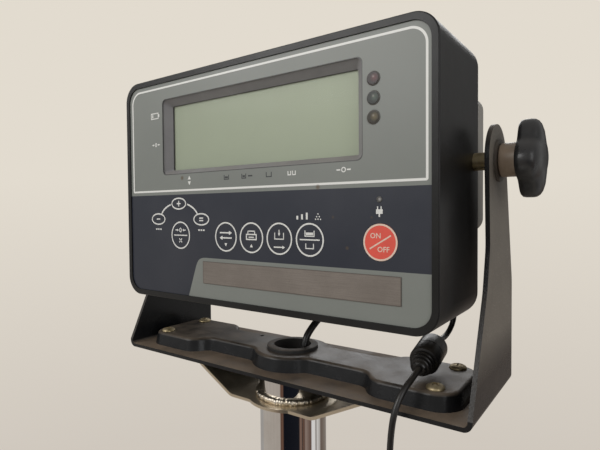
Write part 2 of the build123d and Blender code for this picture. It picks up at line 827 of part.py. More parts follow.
with BuildSketch(Plane.XY) as face_cuts:
    with Locations(*lamp_places.values()):
        Circle(lamp_radius + lamp_gap)
    with Locations((charge_lamp_x, charge_lamp_z)):
        Circle(charge_lamp_radius + lamp_gap)
    with Locations(*key_places.values()):
        Circle(key_radius + key_gap)
    with Locations(*memory_places.values()):
        Ellipse(memory_key_long + key_gap, memory_key_short + key_gap)
face_holes = face_cuts.sketch
cavity_width = head_width - 2 * head_wall
cavity_height = head_height - 2 * head_wall
cavity_corner = head_corner - head_wall

# Front half of the head: rim, recessed panel, screw bosses and board bosses
with BuildPart() as front_housing:
    with BuildSketch(front_plane(0)):
        RectangleRounded(head_width, head_height, head_corner)
    extrude(amount=-head_split)
    fillet(front_housing.edges().group_by(Axis.Y)[0], head_front_fillet)
    with BuildSketch(front_plane(0)):
        RectangleRounded(head_width - 2 * rim_width, head_height - 2 * rim_width, rim_corner)
    extrude(amount=-panel_face, mode=Mode.SUBTRACT)
    with BuildSketch(front_plane(panel_back)):
        RectangleRounded(cavity_width, cavity_height, cavity_corner)
    extrude(amount=panel_back - head_split, mode=Mode.SUBTRACT)
    with BuildSketch(front_plane(panel_back)):
        with Locations(*screw_places):
            Circle(screw_boss_radius)
            Circle(screw_radius, mode=Mode.SUBTRACT)
    extrude(amount=panel_back - head_split)
    with BuildSketch(front_plane(panel_back)):
        with Locations(*boss_places):
            Circle(post_radius)
    extrude(amount=panel_back - board_front)
    with BuildSketch(front_plane(panel_face)):
        add(frame_hole)
        add(face_holes)
    extrude(amount=-panel_thickness, mode=Mode.SUBTRACT)
keep(front_housing, "front_housing")

battery_back = cover_back - head_wall - battery_gap
battery_front = battery_back - battery_depth
battery_low = (cover_bottom + cover_top) / 2 - battery_height / 2

with BuildPart() as rear_housing:
    with BuildSketch(front_plane(head_split)):
        RectangleRounded(head_width, head_height, head_corner)
    extrude(amount=head_split - head_depth)
    fillet(rear_housing.edges().group_by(Axis.Y)[-1], head_back_fillet)
    with BuildSketch(front_plane(head_split)):
        RectangleRounded(cavity_width, cavity_height, cavity_corner)
    extrude(amount=head_split - head_depth + head_wall, mode=Mode.SUBTRACT)
    fillet(
        rear_housing.edges().filter_by(lambda e: abs(e.center().Y - head_y - head_depth + head_wall) < 0.01),
        head_back_fillet - head_wall,
    )
    with BuildSketch(front_plane(head_split)):
        with Locations(*screw_places):
            Circle(screw_boss_radius)
    extrude(amount=head_split - head_depth + head_wall)
    with BuildSketch(front_plane(board_back)):
        with Locations(*boss_places):
            Circle(post_radius)
    extrude(amount=board_back - head_depth + head_wall)
    with BuildSketch(front_plane(head_depth - 4 * head_wall)):
        with Locations(*cover_screw_places):
            Circle(cover_post_radius)
    extrude(amount=-3 * head_wall)
    for side in (-1, 1):
        with BuildSketch(side_plane(side * (head_width / 2 - insert_inner_length), side)):
            Circle(pivot_boss_radius)
        extrude(amount=insert_inner_length - head_wall)
    with BuildSketch(front_plane(battery_front - battery_gap - battery_shelf)):
        with Locations((0, battery_low - battery_shelf / 2)):
            Rectangle(battery_width, battery_shelf)
    extrude(amount=battery_front - battery_gap - battery_shelf - head_depth)
    with BuildSketch(front_plane(battery_front - battery_gap - battery_shelf)):
        with Locations((0, battery_low + battery_shelf)):
            Rectangle(battery_width, 3 * battery_shelf)
    extrude(amount=-battery_shelf)
    with BuildSketch(front_plane(head_depth)):
        with Locations((0, battery_low + battery_height / 2 + battery_gap / 2)):
            Rectangle(battery_width + 2 * battery_gap, battery_height + battery_gap)
    extrude(amount=head_wall, mode=Mode.SUBTRACT)
    with BuildSketch(front_plane(head_depth)):
        with Locations(*screw_places):
            Circle(screw_radius + thread_gap)
    extrude(amount=head_depth - head_split, mode=Mode.SUBTRACT)
    with BuildSketch(front_plane(head_depth)):
        with Locations(*cover_screw_places):
            Circle(screw_radius)
    extrude(amount=4 * head_wall, mode=Mode.SUBTRACT)
    with BuildSketch(side_plane(-head_width / 2, 1)):
        Circle(insert_radius)
    extrude(amount=head_width, mode=Mode.SUBTRACT)
keep(rear_housing, "rear_housing")

floor_plane_z = head_z + cover_bottom
connector_line = head_y + connector_y
gland_thread = gland_hex / 3
cover_middle = (cover_top + cover_bottom) / 2
cover_tall = cover_top - cover_bottom

with BuildPart() as rear_cover:
    with BuildSketch(front_plane(head_depth)):
        with Locations((0, cover_middle)):
            RectangleRounded(2 * cover_half_width, cover_tall, cover_corner)
    extrude(amount=-cover_depth)
    fillet(rear_cover.edges().group_by(Axis.Y)[-1], cover_edge)
    with BuildSketch(front_plane(head_depth)):
        with Locations((0, cover_middle)):
            RectangleRounded(
                2 * (cover_half_width - head_wall), cover_tall - 2 * head_wall, cover_corner - head_wall
            )
    extrude(amount=head_wall - cover_depth, mode=Mode.SUBTRACT)
    with BuildSketch(front_plane(head_depth)):
        with Locations(*cover_screw_places):
            Circle(cover_post_radius)
    extrude(amount=head_wall - cover_depth)
    with BuildSketch(front_plane(head_depth)):
        with Locations(*cover_screw_places):
            Circle(screw_radius + thread_gap)
    extrude(amount=-cover_depth, mode=Mode.SUBTRACT)
    with BuildSketch(level(floor_plane_z)):
        with Locations((gland_x, connector_line)):
            Circle(gland_thread + thread_gap)
        with Locations((socket_x, connector_line)):
            Circle(socket_body + thread_gap)
        with Locations((port_x, connector_line)):
            Rectangle(port_shell_width + 2 * overlay_gap, port_shell_depth + 2 * overlay_gap)
    extrude(amount=2 * head_wall, mode=Mode.SUBTRACT)
keep(rear_cover, "rear_cover")

with BuildPart() as cover_screws:
    with BuildSketch(front_plane(cover_back)):
        with Locations(*cover_screw_places):
            Circle(screw_head_radius)
    extrude(amount=-screw_head_height)
    fillet(cover_screws.edges().group_by(Axis.Y)[-1], screw_head_height * 0.6)
    with BuildSketch(front_plane(cover_back)):
        with Locations(*cover_screw_places):
            Circle(screw_radius)
    extrude(amount=cover_screw_length)
keep(cover_screws, "cover_screws")

with BuildPart() as housing_screws:
    with BuildSketch(front_plane(head_depth)):
        with Locations(*screw_places):
            Circle(screw_head_radius)
    extrude(amount=-screw_head_height)
    fillet(housing_screws.edges().group_by(Axis.Y)[-1], screw_head_height * 0.6)
    with BuildSketch(front_plane(head_depth)):
        with Locations(*screw_places):
            Circle(screw_radius)
    extrude(amount=screw_length)
keep(housing_screws, "housing_screws")

with BuildPart() as battery:
    with BuildSketch(front_plane(battery_front)):
        with Locations((0, battery_low + battery_height / 2)):
            RectangleRounded(battery_width, battery_height, battery_shelf)
    extrude(amount=-battery_depth)
keep(battery, "battery")

# Face of the head: overlay, bare plate, display, lamps and keys
with BuildPart() as keypad_overlay:
    with BuildSketch(front_plane(overlay_recess)):
        RectangleRounded(
            head_width - 2 * rim_width - 2 * overlay_gap, head_height - 2 * rim_width - 2 * overlay_gap,
            rim_corner - overlay_gap,
        )
        add(window_mouth, mode=Mode.SUBTRACT)
        add(face_holes, mode=Mode.SUBTRACT)
    extrude(amount=-overlay_sheet)
keep(keypad_overlay, "keypad_overlay")

with BuildPart() as rating_plate:
    with BuildSketch(front_plane(overlay_recess)):
        with Locations(((plate_left + plate_right) / 2, (plate_bottom + plate_top) / 2)):
            RectangleRounded(plate_right - plate_left, plate_top - plate_bottom, plate_sheet)
    extrude(amount=plate_sheet)
keep(rating_plate, "rating_plate")

with BuildPart() as display_frame:
    with BuildSketch(front_plane(panel_face)):
        add(frame_outline)
    extrude(amount=-panel_thickness)
    with BuildSketch(front_plane(panel_back)):
        add(frame_flange)
    extrude(amount=panel_back - glass_front)
    with BuildSketch(front_plane(panel_face)):
        add(window_mouth)
    with BuildSketch(front_plane(glass_front)):
        add(glass_outline)
    loft(mode=Mode.SUBTRACT)
keep(display_frame, "display_frame")

with BuildPart() as display_window:
    with BuildSketch(front_plane(glass_front)):
        add(module_outline)
    extrude(amount=-window_sheet)
keep(display_window, "display_window")

with BuildPart() as lcd_module:
    with BuildSketch(front_plane(glass_front + window_sheet)):
        add(module_outline)
    extrude(amount=-lcd_thickness)
keep(lcd_module, "lcd_module")

for lamp_name, (x, z) in lamp_places.items():
    with BuildPart() as lamp:
        with BuildSketch(front_plane(overlay_recess - lamp_dome)):
            with Locations((x, z)):
                Circle(lamp_radius)
        extrude(amount=overlay_recess - lamp_dome - panel_back)
        fillet(lamp.edges().group_by(Axis.Y)[0], lamp_dome * 0.95)
        with BuildSketch(front_plane(panel_back)):
            with Locations((x, z)):
                Circle(lamp_stem)
        extrude(amount=panel_back - board_front)
    keep(lamp, lamp_name)

with BuildPart() as charge_lamp:
    with BuildSketch(front_plane(overlay_recess - lamp_dome / 2)):
        with Locations((charge_lamp_x, charge_lamp_z)):
            Circle(charge_lamp_radius)
    extrude(amount=overlay_recess - lamp_dome / 2 - board_front)
    fillet(charge_lamp.edges().group_by(Axis.Y)[0], lamp_dome / 2)
keep(charge_lamp, "charge_lamp")

switch_front = board_front - switch_height
for key_name, (x, z) in {**key_places, **memory_places}.items():
    with BuildPart() as key:
        with BuildSketch(front_plane(overlay_recess - key_proud)):
            with Locations((x, z)):
                if key_name in key_places:
                    Circle(key_radius)
                else:
                    Ellipse(memory_key_long, memory_key_short)
        extrude(amount=-key_cap)
        fillet(key.edges().group_by(Axis.Y)[0], key_cap / 4)
        with BuildSketch(front_plane(overlay_recess - key_proud + key_cap)):
            with Locations((x, z)):
                Circle(key_stem)
        extrude(amount=overlay_recess - key_proud + key_cap + key_play - switch_front)
    keep(key, key_name)

with BuildPart() as main_board:
    with BuildSketch(front_plane(board_front)):
        Rectangle(board_width, board_height)
    extrude(amount=-board_sheet)
    with BuildSketch(front_plane(board_front)):
        with Locations(*key_places.values(), *memory_places.values()):
            Rectangle(switch_size, switch_size)
    extrude(amount=switch_height * 0.8)
    with BuildSketch(front_plane(switch_front)):
        with Locations(*key_places.values(), *memory_places.values()):
            Circle(switch_size / 3)
    extrude(amount=-switch_height * 0.2)
keep(main_board, "main_board")

# Connectors in the floor of the rear cover
gland_bottom = floor_plane_z - gland_hex_height - gland_nut_height
with BuildPart() as cable_gland:
    with BuildSketch(level(floor_plane_z, gland_x, connector_line)):
        RegularPolygon(gland_hex / 2, 6, major_radius=False)
    extrude(amount=-gland_hex_height)
    with BuildSketch(level(floor_plane_z - gland_hex_height, gland_x, connector_line)):
        Circle(gland_nut_radius)
    extrude(amount=-gland_nut_height)
    fillet(cable_gland.edges().group_by(Axis.Z)[0], gland_nut_height / 4)
    with BuildSketch(level(floor_plane_z, gland_x, connector_line)):
        Circle(gland_thread)
    extrude(amount=head_wall + gland_hex_height * 0.7)
    with BuildSketch(level(floor_plane_z + head_wall, gland_x, connector_line)):
        RegularPolygon(gland_hex / 2, 6, major_radius=False)
    extrude(amount=gland_hex_height * 0.6)
    with BuildSketch(level(gland_bottom, gland_x, connector_line)):
        Circle(signal_cable_radius)
    extrude(amount=gland_nut_height + 2 * gland_hex_height + head_wall, mode=Mode.SUBTRACT)
keep(cable_gland, "cable_gland")

with BuildPart() as serial_port:
    with BuildSketch(level(floor_plane_z, port_x, connector_line)):
        Rectangle(port_width, port_depth)
    extrude(amount=-port_flange)
    with BuildSketch(level(floor_plane_z - port_flange, port_x, connector_line)):
        RectangleRounded(port_shell_width, port_shell_depth, port_shell_depth / 4)
        RectangleRounded(
            port_shell_width - port_flange,
            port_shell_depth - port_flange,
            port_shell_depth / 5,
            mode=Mode.SUBTRACT,
        )
    extrude(amount=-port_shell_height)
    with BuildSketch(level(floor_plane_z, port_x, connector_line)):
        Rectangle(port_shell_width, port_shell_depth)
    extrude(amount=2 * head_wall)
keep(serial_port, "serial_port")

socket_face = floor_plane_z - socket_flange_height
with BuildPart() as dc_socket:
    with BuildSketch(level(floor_plane_z, socket_x, connector_line)):
        Circle(socket_flange)
    extrude(amount=-socket_flange_height)
    with BuildSketch(level(floor_plane_z, socket_x, connector_line)):
        Circle(socket_body)
    extrude(amount=socket_length)
    with BuildSketch(level(socket_face, socket_x, connector_line)):
        Circle(socket_bore)
    extrude(amount=socket_length - socket_flange_height, mode=Mode.SUBTRACT)
keep(dc_socket, "dc_socket")

plug_end = socket_face - plug_length - plug_relief_length
with BuildPart() as dc_plug:
    with BuildSketch(level(socket_face, socket_x, connector_line)):
        Circle(plug_body)
    extrude(amount=-plug_length)
    fillet(dc_plug.edges().group_by(Axis.Z)[0], plug_body / 4)
    with BuildSketch(level(socket_face - plug_length, socket_x, connector_line)):
        Circle(plug_relief_radius)
    extrude(amount=-plug_relief_length, taper=math.degrees(math.atan(0.9 / plug_relief_length)))
    with BuildSketch(level(socket_face, socket_x, connector_line)):
        Circle(plug_tip_radius)
    extrude(amount=plug_tip_length * 0.9)
keep(dc_plug, "dc_plug")

# Power lead: plug, ferrite on the yoke, a long hanging run, a coil on the floor and the adapter
lead_gap = 0.1
lead_floor = lead_radius + lead_gap
lead_pitch = 2 * lead_radius + lead_gap
tail_level = lead_floor + lead_pitch
tail_x = coil_x + coil_turn_radius
ferrite_back = (101.3, head_y + 59.9, head_z - 100.8)
ferrite_front = (103.0, head_y + 28.6, head_z - 107.5)
ferrite_axis = (Vector(*ferrite_front) - Vector(*ferrite_back)).normalized()
ferrite_length = (Vector(*ferrite_front) - Vector(*ferrite_back)).length
run_in = Vector(*ferrite_back) - ferrite_axis * 5.8
run_out = Vector(*ferrite_front) + ferrite_axis * 10.0
hang_top = Vector(98.0, head_y + 0.5, head_z - 148.0)
hang_end = Vector(103.6, head_y + 15.8, 90.0)
hang_fall = hang_top.Z - hang_end.Z
even_runs = math.ceil((hang_fall - 64.0) / 57.0)
hang_drops = [24.0, 64.0] + [64.0 + (hang_fall - 64.0) * (n + 1) / even_runs for n in range(even_runs)]


def hang_point(drop):
    """A point of the hanging run, bowed slightly to one side, the given height below its top."""
    part = drop / hang_fall
    x = hang_top.X + (hang_end.X - hang_top.X) * part - 21.0 * part * (1 - part)
    y = hang_top.Y + (hang_end.Y - hang_top.Y) * part * part
    return Vector(x, y, hang_top.Z - drop)


lead_route = [
    Vector(socket_x, connector_line, plug_end),
    Vector(socket_x, connector_line, head_z - 79.0),
    Vector(105.2, head_y + 84.0, head_z - 91.9),
    Vector(102.4, head_y + 76.6, head_z - 100.1),
    run_in,
    run_out,
    Vector(102.3, head_y + 8.5, head_z - 113.0),
    Vector(100.0, head_y + 2.5, head_z - 122.5),
    Vector(98.6, head_y + 1.0, head_z - 134.0),
    hang_top,
    *[hang_point(drop) for drop in hang_drops],
    Vector(104.9, head_y + 18.0, 55.0),
    Vector(106.2, head_y + 21.5, 25.0),
    Vector(110.5, head_y + 39.5, lead_floor),
    Vector(coil_x - coil_turn_radius, coil_y, lead_floor),
]


def bend_radii(points):
    """The radius of each bend of a route, as large as its shorter run leaves room for."""
    radii = []
    for before, corner, after in zip(points, points[1:], points[2:]):
        arriving = corner - before
        leaving = after - corner
        half_turn = math.radians(arriving.get_angle(leaving)) / 2
        radii.append(0.45 * min(arriving.length, leaving.length) / math.tan(half_turn))
    return radii


lead_radii = bend_radii(lead_route)
with BuildPart() as adapter_cord:
    with BuildLine() as lead_line:
        FilletPolyline(*lead_route, radius=lead_radii)
    with BuildSketch(Plane(origin=lead_line.line @ 0, z_dir=lead_line.line % 0)):
        Circle(lead_radius)
    sweep(path=lead_line.line)
    with BuildSketch(Plane(origin=(tail_x, coil_y, tail_level), x_dir=(1, 0, 0), z_dir=(0, -1, 0))):
        Circle(lead_radius)
    extrude(amount=coil_turn_radius)
keep(adapter_cord, "adapter_cord")
lead_length = sum(edge.length for edge in lead_line.edges()) + coil_turn_radius
print("adapter_cord radii", [round(r, 1) for r in lead_radii])
print("adapter_cord runs", [round((b - a).length, 1) for a, b in zip(lead_route, lead_route[1:])])
print("adapter_cord volume over section x length",
      round(adapter_cord.part.volume / (math.pi * lead_radius ** 2 * lead_length), 4))

with BuildPart() as adapter_coil:
    with BuildSketch(level(lead_gap, coil_x, coil_y)):
        Circle(coil_turn_radius + (coil_columns + 1) * lead_pitch / 2)
        Circle(coil_turn_radius - (coil_columns + 1) * lead_pitch / 2, mode=Mode.SUBTRACT)
    extrude(amount=coil_layers * lead_pitch)
    fillet(adapter_coil.edges(), lead_radius * 0.9)
keep(adapter_coil, "adapter_coil")

with BuildPart() as mains_adapter:
    adapter_back = coil_y - coil_turn_radius - adapter_relief_length
    with BuildSketch(level(0, tail_x, adapter_back - adapter_depth / 2)):
        Rectangle(adapter_width, adapter_depth)
    extrude(amount=adapter_height)
    fillet(mains_adapter.edges().filter_by(Axis.Z), adapter_edge)
    fillet(mains_adapter.edges().group_by(Axis.Z)[-1], adapter_edge / 2)
    with BuildSketch(Plane(origin=(tail_x, adapter_back, tail_level), x_dir=(1, 0, 0), z_dir=(0, 1, 0))):
        Circle(adapter_relief_radius)
    extrude(amount=adapter_relief_length, taper=math.degrees(math.atan(1 / adapter_relief_length)))
    prong_root = (tail_x, adapter_back - adapter_depth, adapter_height / 2)
    with BuildSketch(Plane(origin=prong_root, x_dir=(1, 0, 0), z_dir=(0, -1, 0))):
        with GridLocations(prong_spacing, 0, 2, 1):
            Rectangle(prong_thickness, prong_width)
    extrude(amount=prong_length)
keep(mains_adapter, "mains_adapter")

with BuildPart() as ferrite:
    with BuildSketch(Plane(origin=ferrite_back, z_dir=ferrite_axis)):
        Circle(ferrite_radius)
    extrude(amount=ferrite_length)
    chamfer(ferrite.faces().sort_by(Axis.Y)[0].edges(), ferrite_taper, ferrite_radius * 0.35)
    fillet(ferrite.faces().sort_by(Axis.Y)[-1].edges(), ferrite_radius / 8)
    with BuildSketch(Plane(origin=ferrite_back, z_dir=ferrite_axis)):
        Circle(lead_radius + ferrite_bore_gap)
    extrude(amount=ferrite_length, mode=Mode.SUBTRACT)
keep(ferrite, "ferrite")

# Load cell cable: gland, grommet, down inside the column, under the tongue and up to the cell
under_tongue = base_top - base_sheet - 3 * signal_cable_radius
on_tray = base_top + signal_cable_radius + lead_gap
cable_entry_y = pan_middle - cell_bolt_y - cell_land_length / 4
cable_route = [
    Vector(gland_x, connector_line, gland_bottom + gland_nut_height / 2),
    Vector(gland_x, connector_line, head_z - 60.0),
    Vector(24.0, head_y + 81.0, head_z - 76.0),
    Vector(20.0, head_y + 75.0, head_z - 92.0),
    Vector(15.2, head_y + 61.5, head_z - 102.5),
    Vector(9.9, column_y + 0.8, head_z - 113.0),
    Vector(9.2, column_y + 0.4, head_z - 140.0),
    Vector(6.0, column_y + 0.2, saddle_seat - 60.0),
    Vector(0.6, column_y, tube_bottom + sleeve_height),
    Vector(1.0, column_y - 1.0, base_top),
    Vector(4.0, column_y - 14.0, under_tongue),
    Vector(16.0, column_y - 60.0, under_tongue - 1.0),
    Vector(cable_slot_x - 1.0, cable_slot_y + 30.0, under_tongue),
    Vector(cable_slot_x, cable_slot_y - 16.0, on_tray),
    Vector(cable_slot_x + 1.0, pan_middle - 10.0, on_tray + 0.2),
    Vector(cable_slot_x, cable_entry_y + 14.0, on_tray),
    Vector(cable_slot_x - 3.0, cable_entry_y, on_tray + 8.0),
    Vector(cell_width / 2, cable_entry_y, on_tray + 8.0),
]
cable_radii = bend_radii(cable_route)
with BuildPart() as load_cell_cable:
    with BuildLine() as cable_line:
        FilletPolyline(*cable_route, radius=cable_radii)
    with BuildSketch(Plane(origin=cable_line.line @ 0, z_dir=cable_line.line % 0)):
        Circle(signal_cable_radius)
    sweep(path=cable_line.line)
keep(load_cell_cable, "load_cell_cable")
print("load_cell_cable radii", [round(r, 1) for r in cable_radii])
cable_length = sum(edge.length for edge in cable_line.edges())
print("load_cell_cable volume over section x length",
      round(load_cell_cable.part.volume / (math.pi * signal_cable_radius ** 2 * cable_length), 4))
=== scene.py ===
import math

import bmesh
import bpy
from bpy.props import FloatProperty, FloatVectorProperty, PointerProperty
from mathutils import Matrix, Vector


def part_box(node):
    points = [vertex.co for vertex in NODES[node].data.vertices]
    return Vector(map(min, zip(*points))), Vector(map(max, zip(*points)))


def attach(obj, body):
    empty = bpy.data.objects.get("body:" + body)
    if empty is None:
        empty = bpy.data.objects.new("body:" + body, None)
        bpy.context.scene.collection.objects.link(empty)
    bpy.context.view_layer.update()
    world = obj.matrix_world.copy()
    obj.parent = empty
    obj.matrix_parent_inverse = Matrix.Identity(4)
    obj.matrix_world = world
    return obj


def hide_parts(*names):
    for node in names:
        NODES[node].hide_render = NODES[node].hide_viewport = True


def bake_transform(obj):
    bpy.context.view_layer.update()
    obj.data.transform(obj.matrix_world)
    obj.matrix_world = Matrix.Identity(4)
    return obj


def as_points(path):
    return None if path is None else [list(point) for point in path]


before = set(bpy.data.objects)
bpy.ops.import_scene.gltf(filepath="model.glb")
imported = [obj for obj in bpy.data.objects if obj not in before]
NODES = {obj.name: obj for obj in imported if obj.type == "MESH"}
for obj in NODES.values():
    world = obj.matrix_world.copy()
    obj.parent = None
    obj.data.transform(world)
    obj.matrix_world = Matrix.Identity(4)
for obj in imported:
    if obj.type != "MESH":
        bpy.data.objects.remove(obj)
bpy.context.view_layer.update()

bl_info = {
    "name": "Platform scale",
    "version": (1, 0, 0),
    "blender": (4, 5, 0),
    "location": "View3D > Sidebar > Scale",
    "description": "Finishes, leads, lettering and stage for a platform scale with a tilting indicator head",
    "category": "Object",
}

MM = 0.001
# The middle of the head's front and the column's axis, in millimetres
HEAD = Vector((0.0, 203.5, 839.0))
COLUMN_Y = 252.0
# How far behind the head's front the print on the panel and on the keys starts, and how thick it is
PANEL_FACE, KEY_FACE, INK = 0.76, 0.66, 0.06


def mm(x, y, z):
    """A point given in millimetres, in metres."""
    return Vector((x, y, z)) * MM


def at_head(x, y, z):
    """A point given in millimetres from the middle of the front of the head, in metres."""
    return (HEAD + Vector((x, y, z))) * MM


def paint(*levels):
    """A colour read off a screen, 0 to 255 a channel, as the linear colour that a shader takes."""
    shares = [level / 255 for level in levels]
    return (*(s / 12.92 if s <= 0.04045 else ((s + 0.055) / 1.055) ** 2.4 for s in shares), 1.0)


def shade(tone, share=1.0, lift=0.0):
    """A lighter or darker version of a colour, with its alpha."""
    return (*(min(1.0, c * share + lift) for c in tone[:3]), 1.0)


def tone_setting(name, description, *levels):
    """A colour that a user can change, given as it reads off a screen."""
    return FloatVectorProperty(name=name, description=description, subtype="COLOR", size=3, min=0, max=1,
                               default=paint(*levels)[:3])


# ---- Shader work

class Wire:
    """What leaves a node. Plain arithmetic on it adds the nodes that do the sum."""

    def __init__(self, socket):
        self.socket = socket
        self.tree = socket.id_data

    def __add__(self, other):
        return worked("ADD", self, other)

    def __sub__(self, other):
        return worked("SUBTRACT", self, other)

    def __rsub__(self, other):
        return worked("SUBTRACT", other, self)

    def __mul__(self, other):
        return worked("MULTIPLY", self, other)

    def __pow__(self, other):
        return worked("POWER", self, other)

    def __abs__(self):
        return worked("ABSOLUTE", self)


def fill(socket, value):
    """Gives an input its value, or links it to what leaves another node."""
    if isinstance(value, Wire):
        socket.id_data.links.new(value.socket, socket)
    else:
        socket.default_value = value


def put(tree, kind, inputs=None, **settings):
    """Adds a node, sets it up and fills its inputs."""
    made = tree.nodes.new(kind)
    for name, value in settings.items():
        setattr(made, name, value)
    for name, value in (inputs or {}).items():
        fill(made.inputs[name], value)
    return made


def run(tree, kind, output=0, inputs=None, **settings):
    """Adds a node and gives what leaves one of its outputs."""
    return Wire(put(tree, kind, inputs, **settings).outputs[output])


def worked(operation, *values, clamp=False):
    """One step of arithmetic on up to three values, of which at least one leaves a node."""
    tree = next(value.tree for value in values if isinstance(value, Wire))
    return run(tree, "ShaderNodeMath", 0, dict(enumerate(values)), operation=operation, use_clamp=clamp)


def far(across, rise):
    """Distance from two offsets."""
    return worked("SQRT", across ** 2.0 + rise ** 2.0)


def spread(value, low, high, to_low=0.0, to_high=1.0):
    """Stretches a range of numbers to another, clamped at both ends."""
    return run(value.tree, "ShaderNodeMapRange", "Result", {
        "Value": value, "From Min": low, "From Max": high, "To Min": to_low, "To Max": to_high})


def blended(share, under, over):
    """One colour laid over another by a share from 0 to 1."""
    return run(share.tree, "ShaderNodeMix", 2, {0: share, 6: under, 7: over}, data_type="RGBA")


def place(tree, kind="Object"):
    """Object position, or the direction that a face or the world's light has."""
    return run(tree, "ShaderNodeTexCoord", kind)


def axes(tree, kind="Object"):
    """The same as three numbers."""
    parts = put(tree, "ShaderNodeSeparateXYZ", {0: place(tree, kind)})
    return [Wire(part) for part in parts.outputs]


def noise(tree, scale, detail, roughness=0.5, where=None):
    """Cloudy noise round 0.5."""
    return run(tree, "ShaderNodeTexNoise", "Fac", {
        "Vector": where or place(tree), "Scale": scale, "Detail": detail, "Roughness": roughness})


def shared(tree, name, build, usual, *values):
    """Places an effect that several finishes share, and builds its group with its usual values the first time."""
    group = bpy.data.node_groups.get(name)
    if not group:
        group = bpy.data.node_groups.new(name, "ShaderNodeTree")
        for label, value in usual.items():
            kind = "NodeSocketVector" if isinstance(value, tuple) else "NodeSocketFloat"
            group.interface.new_socket(label, in_out="INPUT", socket_type=kind).default_value = value
        entry = put(group, "NodeGroupInput")
        results = build(group, {label: Wire(entry.outputs[label]) for label in usual})
        for label in results:
            group.interface.new_socket(label, in_out="OUTPUT", socket_type="NodeSocketFloat")
        put(group, "NodeGroupOutput", results)
    return [Wire(out) for out in put(tree, "ShaderNodeGroup", dict(zip(usual, values)), node_tree=group).outputs]


def mottle(tree, scale, low=0.35, high=0.65):
    """Soft uneven patches from 0 to 1."""
    def build(tree, given):
        return {"Mask": spread(noise(tree, given["Scale"], 5.0, 0.6), given["Low"], given["High"])}
    return shared(tree, "Mottle", build, {"Scale": 40.0, "Low": 0.35, "High": 0.65}, scale, low, high)[0]


def grain(tree, scale):
    """Fine leathery grain of moulded plastic or textured paint, as a height and as specks."""
    def build(tree, given):
        where = place(tree)
        pits = noise(tree, given["Scale"], 3.0, where=where)
        cells = run(tree, "ShaderNodeTexVoronoi", "Distance", {"Vector": where, "Scale": given["Scale"]},
                    feature="SMOOTH_F1")
        return {"Height": pits + cells * 0.6, "Specks": spread(pits, 0.6, 0.72)}
    return shared(tree, "Grain", build, {"Scale": 1500.0}, scale)


def dust(tree, scale, cover, film):
    """Dust that has settled on faces that look up, thicker in patches, and a thin film everywhere."""
    def build(tree, given):
        facing = spread(axes(tree, "Normal")[2], 0.25, 0.9)
        rest = spread(noise(tree, given["Scale"], 6.0, 0.65), 0.28, 0.62)
        return {"Mask": worked("MAXIMUM", facing * rest * given["Cover"], rest * given["Film"], clamp=True)}
    return shared(tree, "Settled dust", build, {"Scale": 60.0, "Cover": 0.8, "Film": 0.1}, scale, cover, film)[0]


def brushing(tree, stretch):
    """Long fine lines left by a brush or a belt, along whichever axis is least stretched, as a height and a mask."""
    def build(tree, given):
        where = place(tree)
        lines = noise(tree, 1.0, 4.0, 0.7, run(tree, "ShaderNodeMapping", 0, {
            "Vector": where, "Scale": given["Stretch"]}))
        broad = noise(tree, 25.0, 3.0, where=where)
        return {"Height": lines, "Mask": spread(lines, 0.35, 0.7) * spread(broad, 0.3, 0.7, 0.5, 1.0)}
    return shared(tree, "Brushing", build, {"Stretch": (40.0, 3000.0, 3000.0)}, stretch)


def spot(tree, across, height, radius, softness):
    """A soft round spot on the face of the head."""
    def build(tree, given):
        x, _, z = axes(tree)
        away = far(x - given["Across"], z - given["Height"])
        return {"Mask": spread(away, given["Radius"] - given["Softness"], given["Radius"], 1.0, 0.0)}
    usual = {"Across": 0.0, "Height": 0.0, "Radius": 0.002, "Softness": 0.001}
    return shared(tree, "Spot", build, usual, across, height, radius, softness)[0]


class Finish:
    """A material under work."""

    def __init__(self, name, **plain):
        self.made = bpy.data.materials.new(name)
        self.made.use_nodes = True
        self.tree = self.made.node_tree
        self.feed(**plain)

    def feed(self, relief=None, **inputs):
        """Fills the shader's inputs, and its Normal from a height, a depth in metres and a strength."""
        if relief:
            inputs["Normal"] = run(self.tree, "ShaderNodeBump", 0,
                                   dict(zip(("Height", "Distance", "Strength"), relief)))
        for label, value in inputs.items():
            fill(self.tree.nodes["Principled BSDF"].inputs[label.replace("_", " ")], value)
        return self.made


def surface(name, tones, rough, metallic=0.0, patches=40.0, grained=None, brushed=None, dusty=None,
            dust_tone=paint(128, 116, 100), **plain):
    """A finish of two tones in patches, with grain or brushing in its relief and dust on top where asked."""
    if name in bpy.data.materials:
        return bpy.data.materials[name]
    made = Finish(name, **plain)
    patch = mottle(made.tree, patches, 0.3, 0.7)
    colour = blended(patch, *tones)
    roughness = spread(patch, 0.0, 1.0, *rough)
    relief = None
    if grained:
        height, specks = grain(made.tree, grained[0])
        relief = (height, grained[1], 0.6)
        colour = blended(specks * 0.25, colour, tones[1])
    if brushed:
        height, lines = brushing(made.tree, brushed[0])
        relief = (height, brushed[1], 0.6)
        roughness = roughness + lines * 0.12
        colour = blended(lines * 0.4, colour, tones[0])
    if dusty:
        cover = dust(made.tree, *dusty)
        colour = blended(cover, colour, dust_tone)
        roughness = roughness + cover * (0.88 - roughness)
        metallic = (1.0 - cover) * metallic if metallic else 0.0
    return made.feed(relief, Base_Color=colour, Roughness=roughness, Metallic=metallic)


def dress(made, *names):
    """Gives CAD nodes their finish."""
    for name in names:
        NODES[name].data.materials.clear()
        NODES[name].data.materials.append(made)


# ---- Mesh work

def shown(name, data):
    """An object in the scene, at the origin."""
    piece = bpy.data.objects.new(name, data)
    bpy.context.scene.collection.objects.link(piece)
    return piece


def settled(piece):
    """The plain mesh that an object comes to."""
    return bpy.data.meshes.new_from_object(piece.evaluated_get(bpy.context.evaluated_depsgraph_get()))


